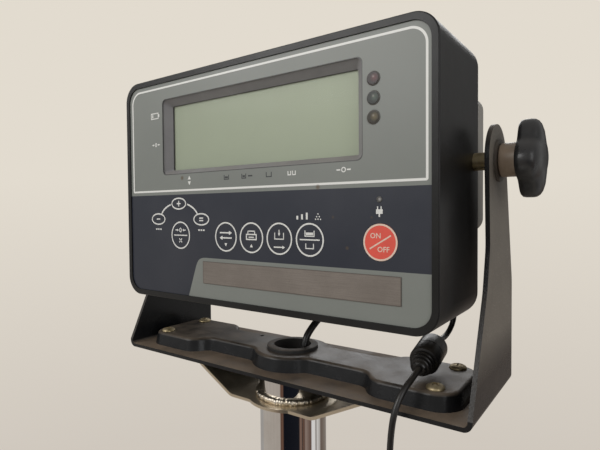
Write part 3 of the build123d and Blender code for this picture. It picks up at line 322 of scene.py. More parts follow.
def in_place_of(piece, *nodes):
    """Hides the CAD nodes that a piece stands in place of."""
    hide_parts(*nodes)


def keep_mesh(name, bm, made, body, smooth=None, closed=True):
    """Turns loose mesh work into a piece with one finish that rides on a body."""
    if closed:
        right_way_out(bm)
    data = bpy.data.meshes.new(name)
    bm.to_mesh(data)
    bm.free()
    data.materials.append(made)
    if smooth is not None:
        with_angle(data, smooth)
    piece = shown(name, data)
    if body:
        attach(piece, body)
    return piece


def with_angle(data, degrees):
    """Shades a mesh smooth, but for the edges that turn by more than the given angle."""
    data.shade_smooth()
    bm = bmesh.new()
    bm.from_mesh(data)
    for edge in bm.edges:
        edge.smooth = not (len(edge.link_faces) == 2 and edge.calc_face_angle(0.0) > math.radians(degrees))
    bm.to_mesh(data)
    bm.free()


def right_way_out(bm):
    """Merges doubled points and turns every face outwards."""
    bmesh.ops.remove_doubles(bm, verts=bm.verts, dist=1e-7)
    bmesh.ops.recalc_face_normals(bm, faces=bm.faces)


def around(count):
    """The angles of points evenly round a circle."""
    return [2 * math.pi * n / count for n in range(count)]


def skin(bm, rows):
    """Joins each closed row of points to the next with faces. A row of one point is a pole."""
    for low, high in zip(rows, rows[1:]):
        count = max(len(low), len(high))
        for n in range(count):
            after = (n + 1) % count
            corners = dict.fromkeys((low[n % len(low)], low[after % len(low)],
                                     high[after % len(high)], high[n % len(high)]))
            if len(corners) > 2:
                bm.faces.new(list(corners))


def lathe(bm, profile, origin, axis, count=48):
    """Turns a profile of (radius, distance along the axis) points into a skin."""
    axis = Vector(axis).normalized()
    side = axis.orthogonal().normalized()
    other = axis.cross(side)
    skin(bm, [[bm.verts.new(Vector(origin) + axis * along + radius * (side * math.cos(a) + other * math.sin(a)))
               for a in (around(count) if radius else [0.0])] for radius, along in profile])


def slab(bm, outline, front, back):
    """A flat sheet with the given outline of (x, z) points in head millimetres, from one depth to another."""
    near, far_side = [[bm.verts.new(at_head(x, depth, z)) for x, z in outline] for depth in (front, back)]
    bm.faces.new(near)
    bm.faces.new(far_side[::-1])
    skin(bm, [far_side, near])


def arc(x, z, wide, tall, start, end, count):
    """Points along part of an ellipse."""
    turns = [math.radians(start + (end - start) * n / count) for n in range(count + 1)]
    return [(x + wide * math.cos(turn), z + tall * math.sin(turn)) for turn in turns]


# ---- Geometry node work

def repeat_tree(name, sizes, make):
    """A geometry node tree with named sizes, whose result is made real and given its finish."""
    tree = bpy.data.node_groups.new(name, "GeometryNodeTree")
    for label, kind, *start in (("Geometry", "Geometry"), *sizes, ("Finish", "Material")):
        socket = tree.interface.new_socket(label, in_out="INPUT", socket_type="NodeSocket" + kind)
        if start:
            socket.default_value = start[0]
    tree.interface.new_socket("Geometry", in_out="OUTPUT", socket_type="NodeSocketGeometry")
    given = {out.name: Wire(out) for out in put(tree, "NodeGroupInput").outputs}
    real = run(tree, "GeometryNodeRealizeInstances", 0, {"Geometry": make(tree, given)})
    put(tree, "NodeGroupOutput", {0: run(tree, "GeometryNodeSetMaterial", 0, {
        "Geometry": real, "Material": given["Finish"]})})
    return tree


def grown(name, tree, values, body, base=None):
    """Runs a geometry node tree on a mesh and keeps the result as a plain mesh that rides on a body."""
    start = shown(name + "_start", base or bpy.data.meshes.new(name + "_start"))
    modifier = start.modifiers.new("Repeat", "NODES")
    modifier.node_group = tree
    sockets = {item.name: item.identifier for item in tree.interface.items_tree
               if item.item_type == "SOCKET" and item.in_out == "INPUT"}
    for label, value in values.items():
        modifier[sockets[label]] = tuple(value) if isinstance(value, Vector) else value
    start.update_tag()
    result = settled(start)
    start.modifiers.clear()
    bpy.data.objects.remove(start)
    result.name = name
    piece = shown(name, result)
    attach(piece, body)
    return piece


def screw_tree():
    """One screw, set on every point and turned by the point's own amount about its own axis."""
    def make(tree, given):
        screw = run(tree, "GeometryNodeObjectInfo", "Geometry", {"Object": given["Screw"]})
        spin = run(tree, "GeometryNodeInputNamedAttribute", 0, {"Name": "turn"}, data_type="FLOAT")
        turned = run(tree, "ShaderNodeVectorMath", 0, {0: given["Axis"], "Scale": spin}, operation="SCALE")
        points = run(tree, "GeometryNodeMeshToPoints", 0, {"Mesh": given["Geometry"]})
        return run(tree, "GeometryNodeInstanceOnPoints", 0, {
            "Points": points, "Instance": screw, "Rotation": turned})
    return repeat_tree("Screws", [("Screw", "Object"), ("Axis", "Vector", (0.0, 0.0, 1.0))], make)


def truss_screw(radius, rise, shank, length, axis):
    """A screw with a low domed head and a cross recess, its head's underside at the origin."""
    axis = Vector(axis)
    bm, cutter = bmesh.new(), bmesh.new()
    dome = [(radius * math.cos(math.radians(a)), rise * (0.18 + 0.82 * math.sin(math.radians(a))))
            for a in (0, 15, 30, 45, 60, 72, 82)]
    lathe(bm, [(0.0, -length), (shank * 0.8, -length), (shank, -length + shank * 0.3), (shank, 0.0),
               (radius * 0.97, 0.0), (radius, rise * 0.06), *dome, (0.0, rise)], (0, 0, 0), axis, 40)
    right_way_out(bm)
    side = axis.orthogonal().normalized()
    other = axis.cross(side)
    for wide, slim in ((side, other), (other, side)):
        rows = [[cutter.verts.new(axis * rise * height + wide * radius * reach * a + slim * radius * half * b)
                 for a, b in ((-1, -1), (1, -1), (1, 1), (-1, 1))]
                for height, reach, half in ((0.45, 0.37, 0.085), (1.3, 0.62, 0.105))]
        for row in rows:
            cutter.faces.new(row)
        skin(cutter, rows)
    bmesh.ops.recalc_face_normals(cutter, faces=cutter.faces)
    holders = []
    for name, shape in (("screw", bm), ("screw_cutter", cutter)):
        data = bpy.data.meshes.new(name)
        shape.to_mesh(data)
        shape.free()
        holders.append(shown(name, data))
    screw, tool = holders
    cut = screw.modifiers.new("Recess", "BOOLEAN")
    cut.operation, cut.solver, cut.use_self, cut.object = "DIFFERENCE", "EXACT", True, tool
    data = settled(screw)
    screw.modifiers.clear()
    screw.data = data
    with_angle(data, 32)
    bpy.data.objects.remove(tool)
    return screw


def set_screws(name, screw, axis, places, turns, made, body, node):
    """Sets one screw at every place, in place of a CAD node of plain ones."""
    points = bpy.data.meshes.new(name + "_points")
    points.from_pydata([tuple(p) for p in places], [], [])
    points.attributes.new("turn", "FLOAT", "POINT").data.foreach_set("value", turns)
    tree = bpy.data.node_groups.get("Screws") or screw_tree()
    in_place_of(grown(name, tree, {"Screw": screw, "Axis": axis, "Finish": made}, body, points), node)


# ---- Stage

# The darker part of the room, to the right and behind, between these angles from the X axis in degrees
SHADE_FROM = (66.0, 76.0)
SHADE_TO = (150.0, 170.0)
# What the polished tube shows of the room below eye level: part of a full turn, and the colour from there on
BANDS = ((0.0, 0.85, 0.78, 0.70), (0.222, 0.80, 0.72, 0.64), (0.232, 0.20, 0.10, 0.07), (0.250, 0.30, 0.17, 0.12),
         (0.262, 0.012, 0.014, 0.022), (0.405, 0.02, 0.022, 0.03), (0.418, 0.42, 0.27, 0.21),
         (0.455, 0.20, 0.11, 0.08), (0.470, 0.55, 0.42, 0.36), (0.526, 0.22, 0.13, 0.10), (0.538, 1.5, 1.5, 1.5),
         (0.575, 1.4, 1.38, 1.35), (0.585, 0.25, 0.20, 0.17), (0.600, 1.3, 1.28, 1.25), (0.640, 0.9, 0.86, 0.82),
         (0.655, 0.30, 0.23, 0.19), (0.740, 0.42, 0.36, 0.31), (0.850, 0.66, 0.62, 0.58), (1.0, 0.72, 0.70, 0.67))
# The photograph's size, and the camera's distance and middle that fit it, all in pixels
PHOTO, FOCAL, MIDDLE = (600, 450), 472.37, (298.6, 223.1)


class ScaleStage(bpy.types.PropertyGroup):
    """Light and background."""
    background: tone_setting("Background", "Colour behind the scale", 226, 219, 207)
    key_power: FloatProperty(name="Main light", description="Power of the main soft light", default=17.0,
                             unit="POWER")
    fill_power: FloatProperty(name="Side light", description="Power of the side light", default=5.0, unit="POWER")
    sky: FloatProperty(name="Room light", description="Brightness of the light from all round", default=0.55, min=0)


class SCALE_OT_stage(bpy.types.Operator):
    """Lay the floor, set the soft lights and stand the camera at the photograph's angle"""
    bl_idname = "scale.stage"
    bl_label = "Stage"

    def execute(self, context):
        given = context.scene.scale_stage
        back = shade(given.background)
        self.room(context.scene, given.sky, back)
        self.floor(back)
        main, side = given.key_power, given.fill_power
        for name, stand, aim, size, power, tint in (
                ("lamp_main", (-0.9, -1.3, 1.75), (0.0, 0.2, 0.8), (1.3, 1.0), main, (1.0, 0.99, 0.975)),
                ("lamp_side", (1.5, -0.5, 1.3), (0.0, 0.25, 0.7), (0.7, 1.2), side, (0.97, 0.985, 1.0)),
                ("lamp_back", (-0.5, 1.7, 1.5), (0.0, 0.2, 0.7), (1.2, 0.8), side * 1.4, (1.0, 1.0, 1.0))):
            lamp = bpy.data.lights.new(name, "AREA")
            lamp.shape, lamp.energy, lamp.color = "RECTANGLE", power, tint
            lamp.size, lamp.size_y = size
            way = (Vector(aim) - Vector(stand)).to_track_quat("-Z", "Y").to_matrix().to_4x4()
            shown(name, lamp).matrix_world = Matrix.Translation(stand) @ way
        self.camera(context.scene)
        context.scene.view_settings.view_transform = "Standard"
        return {"FINISHED"}

    def room(self, scene, sky, back):
        """Light from a plain room with one darker part, bands below eye level, and a background that fades."""
        scene.world = bpy.data.worlds.new("Room")
        scene.world.use_nodes = True
        tree = scene.world.node_tree
        tree.nodes.clear()
        x, y, z = axes(tree, "Generated")
        turn = worked("ARCTAN2", y, x)
        stops = put(tree, "ShaderNodeValToRGB", {"Fac": spread(turn, -math.pi, math.pi)})
        ramp = stops.color_ramp
        while len(ramp.elements) < len(BANDS):
            ramp.elements.new(0.5)
        for stop, (where, *tone) in zip(ramp.elements, BANDS):
            stop.position = where
            stop.color = (*tone, 1.0)
        below = spread(z, -0.16, -0.06, 1.0, 0.0) * spread(z, -0.8, -0.6)
        lit_side = spread(turn, *map(math.radians, SHADE_FROM), 1.0, 0.0)
        far_side = spread(turn, *map(math.radians, SHADE_TO))
        dark = (1.0 - worked("MAXIMUM", lit_side, far_side)) * spread(z, 0.3, 0.6, 1.0, 0.0)
        upper = blended(dark, (0.8, 0.79, 0.77, 1.0), (0.07, 0.065, 0.06, 1.0))
        lit = run(tree, "ShaderNodeBackground", 0, {
            "Color": blended(below, upper, Wire(stops.outputs["Color"])), "Strength": sky})
        low_tone = (*(c * share for c, share in zip(back, (0.82, 0.81, 0.82))), 1.0)
        seen = run(tree, "ShaderNodeBackground", 0, {
            "Color": blended(spread(z, -0.42, 0.06), low_tone, back), "Strength": 1.0})
        mixed = run(tree, "ShaderNodeMixShader", 0, {
            0: run(tree, "ShaderNodeLightPath", "Is Camera Ray"), 1: lit, 2: seen})
        put(tree, "ShaderNodeOutputWorld", {"Surface": mixed})

    def floor(self, back):
        """A round floor that fades out into the background."""
        bm = bmesh.new()
        lathe(bm, [(radius, 0.0) for radius in (0.0, 0.5, 1.0, 1.6)], (0, 0, -0.0004), (0, 0, 1), 96)
        right_way_out(bm)
        for face in bm.faces:
            if face.normal.z < 0:
                face.normal_flip()
        made = Finish("Floor", Roughness=0.7, Specular_IOR_Level=0.2)
        where = place(made.tree)
        away = run(made.tree, "ShaderNodeVectorMath", "Value", {0: where}, operation="LENGTH")
        cloud = spread(noise(made.tree, 3.0, 3.0, where=where), 0.3, 0.7)
        made.feed(Base_Color=blended(cloud, shade(back, 0.93), shade(back, 0.97)),
                  Alpha=spread(away, 0.45, 1.0, 1.0, 0.0))
        keep_mesh("floor", bm, made.made, None, closed=False)

    def camera(self, scene):
        """The camera that fits the photograph's frame."""
        right = Vector((0.81364, 0.58132, -0.00800)).normalized()
        ahead = Vector((-0.58130, 0.81323, -0.02732)).normalized()
        up = right.cross(ahead).normalized()
        turn = Matrix((right, up, -up.cross(right))).transposed()
        lens = bpy.data.cameras.new("camera")
        lens.sensor_width = 36.0
        lens.lens = FOCAL / PHOTO[0] * lens.sensor_width
        lens.shift_x = (PHOTO[0] / 2 - MIDDLE[0]) / PHOTO[0]
        lens.shift_y = (MIDDLE[1] - PHOTO[1] / 2) / PHOTO[0]
        lens.clip_start = 0.02
        scene.camera = shown("camera", lens)
        scene.camera.matrix_world = Matrix.Translation(mm(202.29, -22.33, 822.08)) @ turn.to_4x4()


# ---- Leads

# The power lead from its socket over the ferrite and down beside the column to the floor
LEAD_ROUTE = [mm(*point) for point in (
    (107.0, 285.5, 772.0), (107.0, 285.5, 760.0), (105.2, 287.5, 747.1), (102.4, 280.1, 738.9),
    (101.0, 269.1, 739.4), (103.5, 222.3, 729.4), (102.3, 212.0, 726.0), (100.0, 206.0, 716.5),
    (98.6, 204.5, 705.0), (98.0, 204.0, 691.0), (97.4, 204.0, 667.0), (96.6, 204.2, 627.0), (95.8, 204.6, 573.3),
    (95.3, 205.2, 519.6), (95.2, 206.1, 465.9), (95.4, 207.3, 412.2), (95.9, 208.7, 358.5), (96.8, 210.3, 304.8),
    (98.0, 212.2, 251.1), (99.5, 214.3, 197.4), (101.4, 216.7, 143.7), (103.6, 219.3, 90.0), (104.9, 221.5, 55.0),
    (106.2, 225.0, 25.0), (107.6, 243.0, 1.9))]
# Its way from the coil to the adapter
LEAD_END = [mm(*point) for point in ((154.8, 270.0, 5.45), (152.4, 263.0, 5.45), (151.6, 256.0, 5.45))]
CELL_ROUTE = [mm(*point) for point in (
    (25, 285.5, 797.5), (25, 285.5, 779), (24, 284.5, 763), (17, 273.5, 749), (12.2, 260.5, 738.5),
    (9.2, 252.8, 728), (9.2, 252.4, 699), (6, 252.2, 630), (0.6, 252, 94), (1, 251, 58), (4, 238, 47.5),
    (16, 192, 46.5), (33, 124, 47.5), (34, 78, 60.6), (35, -70, 60.8), (34, -110.5, 60.6), (31, -124.5, 68.6),
    (20, -124.5, 68.6))]
# The coil's middle, the outer turn's radius, the lead's radius and the step from turn to turn, in millimetres
COIL, COIL_RADIUS, LEAD, PITCH = (132.0, 276.0), 24.1, 1.75, 3.6


def coil_points(turns):
    """A flat coil that winds inwards on the floor, climbs once and winds out again on top of itself."""
    inward, climb, count = 3.0, 0.3, 24
    points = []
    for n in range(int(turns * count) + 1):
        turn = n / count
        radius = COIL_RADIUS - PITCH * min(turn, inward) + PITCH * max(turn - inward - climb, 0.0)
        rise = PITCH * min(max((turn - inward) / climb, 0.0), 1.0)
        angle = math.pi - 2 * math.pi * turn
        points.append(mm(COIL[0] + radius * math.cos(angle), COIL[1] + radius * math.sin(angle), LEAD + 0.1 + rise))
    return points


def tube_on(name, points, radius, made, resolution):
    """A round tube along a smooth curve near its control points, as a mesh, with the line that it follows."""
    curve = bpy.data.curves.new(name + "_line", "CURVE")
    curve.dimensions = "3D"
    curve.resolution_u = resolution
    spline = curve.splines.new("NURBS")
    spline.points.add(len(points) - 1)
    for knot, point in zip(spline.points, points):
        knot.co = (*point, 1.0)
    spline.order_u = 3
    spline.use_endpoint_u = True
    line = shown(name + "_line", curve)
    thread = settled(line)
    path = [tuple(v.co) for v in thread.vertices]
    curve.bevel_depth, curve.bevel_resolution, curve.use_fill_caps = radius, 4, True
    line.update_tag()
    data = settled(line)
    bpy.data.objects.remove(line)
    bpy.data.meshes.remove(thread)
    data.name = name
    data.materials.clear()
    data.materials.append(made)
    data.shade_smooth()
    return shown(name, data), path


class ScaleLeads(bpy.types.PropertyGroup):
    """The two leads and the adapter."""
    jacket: tone_setting("Jacket", "Colour of the leads' jacket", 22, 22, 24)
    turns: FloatProperty(name="Turns", description="Turns in the coil on the floor", default=6.5, min=1, max=10)


class SCALE_OT_leads(bpy.types.Operator):
    """Make the power lead with its coil and tie, and the load cell's cable"""
    bl_idname = "scale.leads"
    bl_label = "Leads"

    def execute(self, context):
        given = context.scene.scale_leads
        jacket = surface("Lead jacket", (shade(given.jacket), paint(34, 33, 32)), (0.24, 0.36), patches=60.0,
                         grained=(2600.0, 0.00004), dusty=(40.0, 0.15, 0.02), Specular_IOR_Level=0.5)
        points = LEAD_ROUTE + coil_points(given.turns) + LEAD_END
        lead, path = tube_on("power_lead", points, LEAD * MM, jacket, 3)
        in_place_of(lead, "adapter_cord", "adapter_coil")
        length = sum((Vector(b) - Vector(a)).length for a, b in zip(path, path[1:]))
        tie = self.tie()
        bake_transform(lead)
        tuple(points[0])
        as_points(path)
        cable, _ = tube_on("cell_cable", CELL_ROUTE, 2.5 * MM, jacket, 6)
        in_place_of(cable, "load_cell_cable")
        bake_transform(cable)
        return {"FINISHED"}

    def tie(self):
        """A flat tie closed round the coil."""
        bm = bmesh.new()
        inside = [(12.0, 0.09), (27.0, 0.09), (27.6, 2.0), (27.4, 5.6), (26.2, 7.45), (12.6, 7.45), (11.4, 5.6),
                  (11.3, 2.0)]
        outside = [(12.0, 0.02), (27.1, 0.02), (28.2, 1.8), (28.0, 5.8), (26.5, 8.1), (12.3, 8.1), (10.8, 5.8),
                   (10.7, 1.8)]
        rows = [[bm.verts.new(mm(COIL[0] + side, COIL[1] - r, z)) for r, z in outline]
                for outline, side in ((outside, -1.6), (outside, 1.6), (inside, 1.6), (inside, -1.6))]
        skin(bm, rows + rows[:1])
        made = surface("Tie", (paint(30, 30, 32), paint(48, 47, 46)), (0.7, 0.85), patches=90.0,
                       grained=(1800.0, 0.0002))
        return keep_mesh("lead_tie", bm, made, "stand", 40)


# ---- Plug, ferrite and adapter

def rib_tree():
    """Rings set along a line, each a little smaller than the one before."""
    def make(tree, given):
        line = run(tree, "GeometryNodeMeshLine", 0, {
            "Count": given["Count"], "Start Location": given["Start"], "Offset": given["Step"]})
        hoop, wire = (run(tree, "GeometryNodeCurvePrimitiveCircle", 0, {"Resolution": count, "Radius": given[size]})
                      for count, size in ((32, "Radius"), (8, "Thickness")))
        solid = run(tree, "GeometryNodeCurveToMesh", 0, {"Curve": hoop, "Profile Curve": wire})
        size = 1.0 - run(tree, "GeometryNodeInputIndex") * given["Taper"]
        return run(tree, "GeometryNodeInstanceOnPoints", 0, {
            "Points": line, "Instance": solid, "Rotation": given["Turn"], "Scale": size})
    return repeat_tree("Ribs", [
        ("Count", "Int", 6), ("Start", "Vector", (0, 0, 0)), ("Step", "Vector", (0, 0, 0.002)),
        ("Radius", "Float", 0.003), ("Thickness", "Float", 0.0004), ("Taper", "Float", 0.02),
        ("Turn", "Vector", (0, 0, 0))], make)


def ridge_tree():
    """Upright grip ridges round a nut."""
    def make(tree, given):
        hoop = run(tree, "GeometryNodeMeshCircle", 0, {"Vertices": given["Count"], "Radius": given["Radius"]})
        bar = run(tree, "GeometryNodeMeshCylinder", "Mesh", {
            "Vertices": 8, "Radius": 0.0005, "Depth": given["Height"]})
        there = run(tree, "GeometryNodeTransform", 0, {"Geometry": hoop, "Translation": given["Centre"]})
        return run(tree, "GeometryNodeInstanceOnPoints", 0, {"Points": there, "Instance": bar})
    return repeat_tree("Grip ridges", [("Count", "Int", 18), ("Radius", "Float", 0.007),
                                       ("Height", "Float", 0.006), ("Centre", "Vector", (0, 0, 0))], make)


# In metres: the heights where the port's shell turns dark, the adapter's seam and half the seam's width, and how far
# forward the adapter's prongs start
PORT_MOUTH, SEAM, SEAM_WIDTH, PRONGS = (0.8012, 0.8018), 0.0165, (0.0002, 0.0004), (0.1898, 0.1896)


def serial_port():
    """Plated shell of the serial port, with a dark insert where the contacts are."""
    made = Finish("Plated shell", Metallic=0.9)
    cloud = noise(made.tree, 400.0, 4.0)
    depth = spread(axes(made.tree)[2], *PORT_MOUTH)
    tone = blended(cloud, paint(150, 150, 148), paint(200, 199, 196))
    return made.feed(Base_Color=blended(depth * 0.35, tone, paint(70, 70, 70)),
                     Roughness=spread(cloud, 0.3, 0.7, 0.25, 0.45))


def adapter_case():
    """Black case with a seam round its middle, and plated prongs at its front."""
    made = Finish("Adapter case")
    _, y, z = axes(made.tree)
    prong = spread(y, *PRONGS)
    seam = spread(abs(z - SEAM), *SEAM_WIDTH, 1.0, 0.0)
    patch = mottle(made.tree, 70.0)
    case = blended(patch, paint(34, 34, 36), paint(46, 46, 47))
    case = blended(seam * 0.8, case, paint(12, 12, 12))
    return made.feed((grain(made.tree, 1600.0)[0] * 0.3 - seam * 3.0, 0.0001, 0.5),
                     Base_Color=blended(prong, case, paint(205, 203, 196)), Metallic=prong,
                     Roughness=spread(patch, 0.0, 1.0, 0.35, 0.5) - prong * 0.15)


class SCALE_OT_connectors(bpy.types.Operator):
    """Make the ferrite, the ribbed strain reliefs and the finishes of the connectors"""
    bl_idname = "scale.connectors"
    bl_label = "Connectors"

    def execute(self, context):
        black = surface("Black moulding", (paint(17, 17, 18), paint(28, 27, 27)), (0.2, 0.34), patches=120.0,
                        grained=(2200.0, 0.00004), dusty=(70.0, 0.18, 0.02))
        self.ferrite(black)
        ribs = rib_tree()
        for name, tree, body, node, values in (
                ("plug_ribs", ribs, "head", "dc_plug", {
                    "Count": 6, "Start": mm(107, 285.5, 784.6), "Step": mm(0, 0, -2.2), "Radius": 0.0029,
                    "Thickness": 0.00055, "Taper": 0.035}),
                ("adapter_ribs", ribs, "stand", "mains_adapter", {
                    "Count": 6, "Start": mm(151.6, 242.0, 5.45), "Step": mm(0, 2.3, 0), "Radius": 0.0031,
                    "Thickness": 0.0006, "Taper": 0.03, "Turn": (math.pi / 2, 0, 0)}),
                ("gland_ridges", ridge_tree(), "head", "cable_gland", {
                    "Count": 18, "Radius": 0.0073, "Height": 0.0062, "Centre": mm(25, 285.5, 797.6)})):
            grown(name, tree, {**values, "Finish": black}, body)
        dress(black, "dc_plug", "dc_socket", "cable_gland")
        dress(serial_port(), "serial_port")
        dress(adapter_case(), "mains_adapter")
        return {"FINISHED"}

    def ferrite(self, black):
        """The lump on the power lead: a smooth barrel with a ribbed nose, and near-black boxes at its catch windows,
        painted shade in the openings.
        """
        back, front = at_head(101.3, 59.9, -100.8), at_head(103.0, 28.6, -107.5)
        axis = (front - back).normalized()
        profile = [(2.0, 0.0), (5.4, 0.0), (6.1, 0.3), (6.2, 1.6), (7.6, 1.8), (8.4, 2.4), (8.65, 3.4), (8.65, 12.4),
                   (8.5, 12.6), (8.5, 12.9), (8.65, 13.1), (8.65, 21.8), (8.3, 22.7), (7.5, 23.1), (6.4, 23.2),
                   (6.3, 24.0), (7.0, 24.2), (7.1, 25.3), (6.9, 25.6), (5.7, 25.7), (5.6, 26.4), (6.3, 26.6),
                   (6.4, 27.6), (6.1, 27.9), (4.9, 28.0), (4.8, 28.7), (5.4, 28.9), (5.5, 29.8), (5.2, 30.1),
                   (4.2, 30.2), (4.0, 31.4), (3.4, 32.0), (2.0, 32.0), (2.0, 0.0)]
        bm = bmesh.new()
        lathe(bm, [(r * MM, t * MM) for r, t in profile], back, axis, 56)
        in_place_of(keep_mesh("ferrite_core", bm, black, "stand", 35), "ferrite")
        bm = bmesh.new()
        side = axis.cross(Vector((0, 0, 1))).normalized()
        lift = side.cross(axis).normalized()
        # Near-black boxes where the catch windows are: painted shade in the openings
        for along, turn in ((4.2, 48), (11.0, 48), (4.2, -18), (18.6, 10), (4.2, 228), (11.0, 228), (18.6, 190)):
            out = side * math.cos(math.radians(turn)) + lift * math.sin(math.radians(turn))
            middle = back + axis * along * MM + out * 8.35 * MM
            box = bmesh.ops.create_cube(bm, size=1.0, matrix=Matrix.Translation(middle) @ Matrix(
                (axis * 1.5 * MM, axis.cross(out) * 1.7 * MM, out * 0.7 * MM)).transposed().to_4x4())
            corners = set(box["verts"])
            bmesh.ops.bevel(bm, geom=[e for e in bm.edges if e.verts[0] in corners], offset=0.15 * MM, segments=2,
                            affect="EDGES", profile=0.5)
        made = surface("Catch window", (paint(5, 5, 5), paint(12, 12, 12)), (0.7, 0.85), patches=400.0)
        keep_mesh("ferrite_windows", bm, made, "stand", 40)


# ---- Head

class ScaleShell(bpy.types.PropertyGroup):
    """Colours of the head's mouldings."""
    moulding: tone_setting("Moulding", "Colour of the two halves of the head", 19, 19, 19)
    # The rear cover's light warm grey is painted light: it stands for strong light falling on its side
    cover: tone_setting("Rear cover", "Colour of the cover on the back", 150, 147, 140)
    grain_size: FloatProperty(name="Grain", description="How fine the moulded grain is", default=1300.0, min=100)


def zinc():
    """Yellow-tinged zinc plate on screws, nuts and washers."""
    return surface("Zinc plate", (paint(168, 152, 112), paint(196, 180, 148)), (0.3, 0.5), 0.95, patches=260.0,
                   dusty=(300.0, 0.6, 0.12), dust_tone=paint(92, 80, 66))


def dark_screw():
    """Blackened steel of the screws in the head and the load cell."""
    return surface("Blackened steel", (paint(34, 34, 35), paint(58, 56, 54)), (0.3, 0.5), 0.8, patches=300.0)


class SCALE_OT_shell(bpy.types.Operator):
    """Finish the two halves of the head, its rear cover, its battery and the screws on its back"""
    bl_idname = "scale.shell"
    bl_label = "Head shell"

    def execute(self, context):
        given = context.scene.scale_shell
        dress(surface("Moulded shell", (shade(given.moulding), shade(given.moulding, 1.35, 0.003)), (0.3, 0.42),
                      patches=30.0, grained=(given.grain_size, 0.00006), dusty=(35.0, 0.04, 0.01),
                      dust_tone=paint(70, 68, 65), Specular_IOR_Level=0.34), "front_housing", "rear_housing")
        # Painted light: the rear cover is given the light grey that strong light gives its side
        dress(surface("Rear cover moulding", (shade(given.cover), shade(given.cover, 1.12)), (0.42, 0.55),
                      patches=25.0, grained=(given.grain_size, 0.0001), dusty=(40.0, 0.3, 0.04)), "rear_cover")
        dress(surface("Battery wrap", (paint(38, 44, 60), paint(50, 56, 72)), (0.3, 0.4), patches=20.0,
                      grained=(400.0, 0.00008)), "battery")
        along = (0.0, 1.0, 0.0)
        screw = truss_screw(3.6 * MM, 2.3 * MM, 1.5 * MM, 20 * MM, along)
        for part, node, heights, turns in (("housing", "rear_housing", (-68, 68), [0.3, 1.1, 0.7, 1.9]),
                                           ("cover", "rear_cover", (-10, 43.5), [1.3, 0.2, 0.9, 0.5])):
            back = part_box(node)[1][1] / MM - HEAD.y
            set_screws(part + "_screw_heads", screw, along,
                       [at_head(x, back, z) for x in (-112, 112) for z in heights], turns, dark_screw(), "head",
                       part + "_screws")
        bpy.data.objects.remove(screw)
        return {"FINISHED"}


class ScalePanel(bpy.types.PropertyGroup):
    """Colours and layout of the front panel, in millimetres from the middle of the head."""
    grey: tone_setting("Grey", "Colour of the upper and lower right panel", 131, 135, 130)
    navy: tone_setting("Navy", "Colour of the panel round the keys", 38, 43, 56)
    print_tone: tone_setting("Print", "Colour of the white print", 238, 238, 234)
    red: tone_setting("Red key", "Colour of the key that switches the scale on and off", 240, 92, 76)
    glass: tone_setting("Display", "Colour of the unlit display", 170, 180, 156)
    split: FloatProperty(name="Split", description="Height of the line between grey and navy", default=-5.0)
    stripe: FloatProperty(name="Stripe", description="Width of the white line round the display", default=1.3,
                          min=0)


# Opposite corners in head millimetres: the white line, the display's opening, the display's glass and the plate
WHITE_LINE, OPENING = ((-117.5, -2.1), (118.4, 73.7)), ((-82.0, 10.0), (82.4, 64.6))
GLASS, PLATE = ((-76.6, 13.2), (77.6, 60.1)), ((-41.0, -66.9), (104.8, -51.6))
# Brown stains on the overlay: place, radius and share of the stain's colour
STAINS = ((-61.5, 6.7, 1.9, 0.75), (54, -3.8, 1.8, 0.7), (64, -21, 1.1, 0.4),
          (73, -38, 1.3, 0.5), (-24, -41.5, 1.4, 0.35), (88, -21, 0.9, 0.4))


def head_place(tree):
    """Object position as millimetres across and up from the middle of the head's front."""
    x, _, z = axes(tree)
    return x * 1000.0, worked("MULTIPLY_ADD", z, 1000.0, -HEAD.z)


def box_distance(across, rise, low, high, corner):
    """Signed distance in millimetres to a rectangle with rounded corners."""
    reach = [abs(value - (start + end) / 2) - (end - start) / 2 + corner
             for value, start, end in zip((across, rise), low, high)]
    outside = far(*(worked("MAXIMUM", value, 0.0) for value in reach))
    return outside + worked("MINIMUM", worked("MAXIMUM", *reach), 0.0) - corner


def print_finish(name, tone):
    """Slightly worn screen print."""
    return surface(name, (shade(tone), shade(tone, 0.86)), (0.42, 0.55), patches=420.0, grained=(2600.0, 0.00002))


def overlay(given):
    """Printed film: grey above and at the lower right, navy round the keys, one white line, a few brown stains."""
    made = Finish("Printed overlay", Specular_IOR_Level=0.5)
    tree = made.tree
    soft = 0.06
    across, rise = head_place(tree)
    patch = mottle(tree, 18.0, 0.3, 0.7)
    light = blended(patch, shade(given.grey, 0.94), shade(given.grey))
    dark = blended(patch, shade(given.navy, 0.88), shade(given.navy))
    upper = spread(rise, given.split - soft, given.split + soft)
    beside = (across - worked("MULTIPLY_ADD", rise + 76.0, 0.3625, -55.7)) * 0.94
    lower = spread(worked("SMOOTH_MIN", -49.2 - rise, beside, 9.0), -soft, soft)
    colour = blended(worked("MAXIMUM", upper, lower), dark, light)
    round_top = spread(rise, 30.0, 30.1, 0.6, 9.0)
    line = abs(box_distance(across, rise, *WHITE_LINE, round_top))
    colour = blended(spread(line, given.stripe / 2 - soft, given.stripe / 2 + soft, 1.0, 0.0), colour,
                     shade(given.print_tone))
    cut = box_distance(across, rise, *OPENING, 3.0)
    colour = blended(spread(cut, 0.3, 0.65, 0.85, 0.0), colour, paint(52, 52, 54))
    for x, z, radius, depth in STAINS:
        stain = spot(tree, x * MM, (HEAD.z + z) * MM, radius * MM, radius * 0.6 * MM)
        colour = blended(stain * depth, colour, paint(92, 74, 52))
    smear = mottle(tree, 9.0, 0.42, 0.8)
    return made.feed((grain(tree, 2600.0)[0], 0.00002, 0.4), Roughness=spread(smear, 0.0, 1.0, 0.34, 0.46),
                     Base_Color=blended(smear * 0.05, colour, paint(150, 142, 130)))


